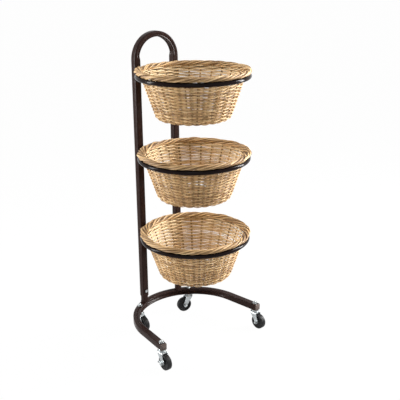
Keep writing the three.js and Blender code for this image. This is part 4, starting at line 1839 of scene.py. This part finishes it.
LAMPS = (
    Lamp("left_strip", (-1.75, 1.5, 1.3), (0.45, 2.0), 76.0),
    Lamp("right_strip", (2.15, -1.0, 1.35), (0.45, 2.0), 158.0),
    Lamp("top_softbox", (-0.1, -0.3, 3.1), (1.6, 1.6), 20.0),
    Lamp("front_softbox", (-1.7, -2.0, 2.2), (1.0, 1.0), 5.0),
)


@dataclass
class Studio:
    """Camera, soft lights, floor and white surroundings."""

    eye: Point = (-1.6174, -1.9840, 1.4391)
    azimuth: float = math.radians(-39.96)
    elevation: float = math.radians(18.915)
    roll: float = math.radians(-0.525)
    focal_pixels: float = 729.26
    image_pixels: float = 400.0
    sensor_mm: float = 36.0
    sight: float = 100.0
    lamp_target: Point = (0.0, 0.0, 0.65)
    floor_half: float = 30.0
    floor_colour: Colour = (0.86, 0.86, 0.86, 1.0)
    floor_speckle: Grain = Grain(6.0, 3.0, 0.3, 0.7)
    floor_speckle_share: float = 0.02
    floor_glow: float = 0.985
    world_light: float = 0.14

    def build(self) -> None:
        """Sets the whole studio."""
        self._camera()
        self._floor()
        self._world()
        for lamp in LAMPS:
            lamp.hang(self.lamp_target)
        bpy.context.scene.view_settings.view_transform = "Standard"

    def _camera(self) -> None:
        """Puts the camera where the photograph was taken from."""
        lens = bpy.data.cameras.new("camera")
        lens.sensor_width = self.sensor_mm
        lens.lens = self.focal_pixels / self.image_pixels * self.sensor_mm
        lens.clip_end = self.sight
        camera = bpy.data.objects.new("camera", lens)
        level = Vector((math.cos(self.azimuth), math.sin(self.azimuth), 0.0))
        flat = math.cos(self.elevation)
        back = Vector((
            math.sin(self.azimuth) * flat,
            -math.cos(self.azimuth) * flat,
            math.sin(self.elevation),
        ))
        lift = back.cross(level)
        right = level * math.cos(self.roll) + lift * math.sin(self.roll)
        up = lift * math.cos(self.roll) - level * math.sin(self.roll)
        camera.matrix_world = Matrix.Translation(self.eye) @ Matrix((right, up, back)).transposed().to_4x4()
        bpy.context.scene.collection.objects.link(camera)
        bpy.context.scene.camera = camera

    def _floor(self) -> None:
        """Lays a pale floor that fades into the surroundings and keeps a soft shadow."""
        half = self.floor_half
        mesh = bpy.data.meshes.new("floor")
        corners = [(-half, -half, 0), (half, -half, 0), (half, half, 0), (-half, half, 0)]
        mesh.from_pydata(corners, [], [(0, 1, 2, 3)])
        floor = bpy.data.objects.new("floor", mesh)
        bpy.context.scene.collection.objects.link(floor)
        material = bpy.data.materials.new("studio floor")
        material.use_nodes = True
        board = NodeBoard(material.node_tree)
        seen = self._seen(board)
        speckle = board.mask(board.place(), self.floor_speckle) * self.floor_speckle_share
        colour = board.blend(self.floor_colour, WHITE, speckle)
        matt = board.node("ShaderNodeBsdfDiffuse", inputs={"Color": colour})
        glow = board.node("ShaderNodeEmission", inputs={"Strength": 1.0})
        mixed = board.node("ShaderNodeMixShader", inputs={0: seen * self.floor_glow, 1: matt, 2: glow})
        board.node("ShaderNodeOutputMaterial", inputs={"Surface": mixed})
        mesh.materials.append(material)

    @staticmethod
    def _seen(board: NodeBoard) -> Value:
        """A mask of the rays from the camera, off gloss and through glass.

        Args:
            board: The board that it is for.

        Returns:
            The mask.
        """
        rays = ("Is Camera Ray", "Is Glossy Ray", "Is Transmission Ray")
        first, second, third = (board.node("ShaderNodeLightPath", output=ray) for ray in rays)
        return first.or_(second).or_(third)

    def _world(self) -> None:
        """White surroundings, which light the rack at a plain level."""
        world = bpy.data.worlds.new("surroundings")
        world.use_nodes = True
        board = NodeBoard(world.node_tree)
        strength = self.world_light + self._seen(board) * (1.0 - self.world_light)
        glow = board.node("ShaderNodeBackground", inputs={"Strength": strength, "Color": WHITE})
        board.node("ShaderNodeOutputWorld", inputs={"Surface": glow})
        bpy.context.scene.world = world


def main() -> None:
    """Builds the rack's pieces in order."""
    logging.basicConfig(level=logging.INFO, format="%(message)s")
    shop = Workshop()
    hardware = Hardware()
    Studio().build()
    base = base_horseshoe()
    base.build(shop)
    hoop_tube().build(shop)
    Stand(shop, base, hardware).build()
    for seed, tier in enumerate(Tier, FIRST_SEED):
        Basket(tier, shop, seed).build()
    for place in Place:
        Caster(place, shop, hardware, braked=place is Place.FRONT_LEFT).build()


if __name__ == "__main__":
    main()
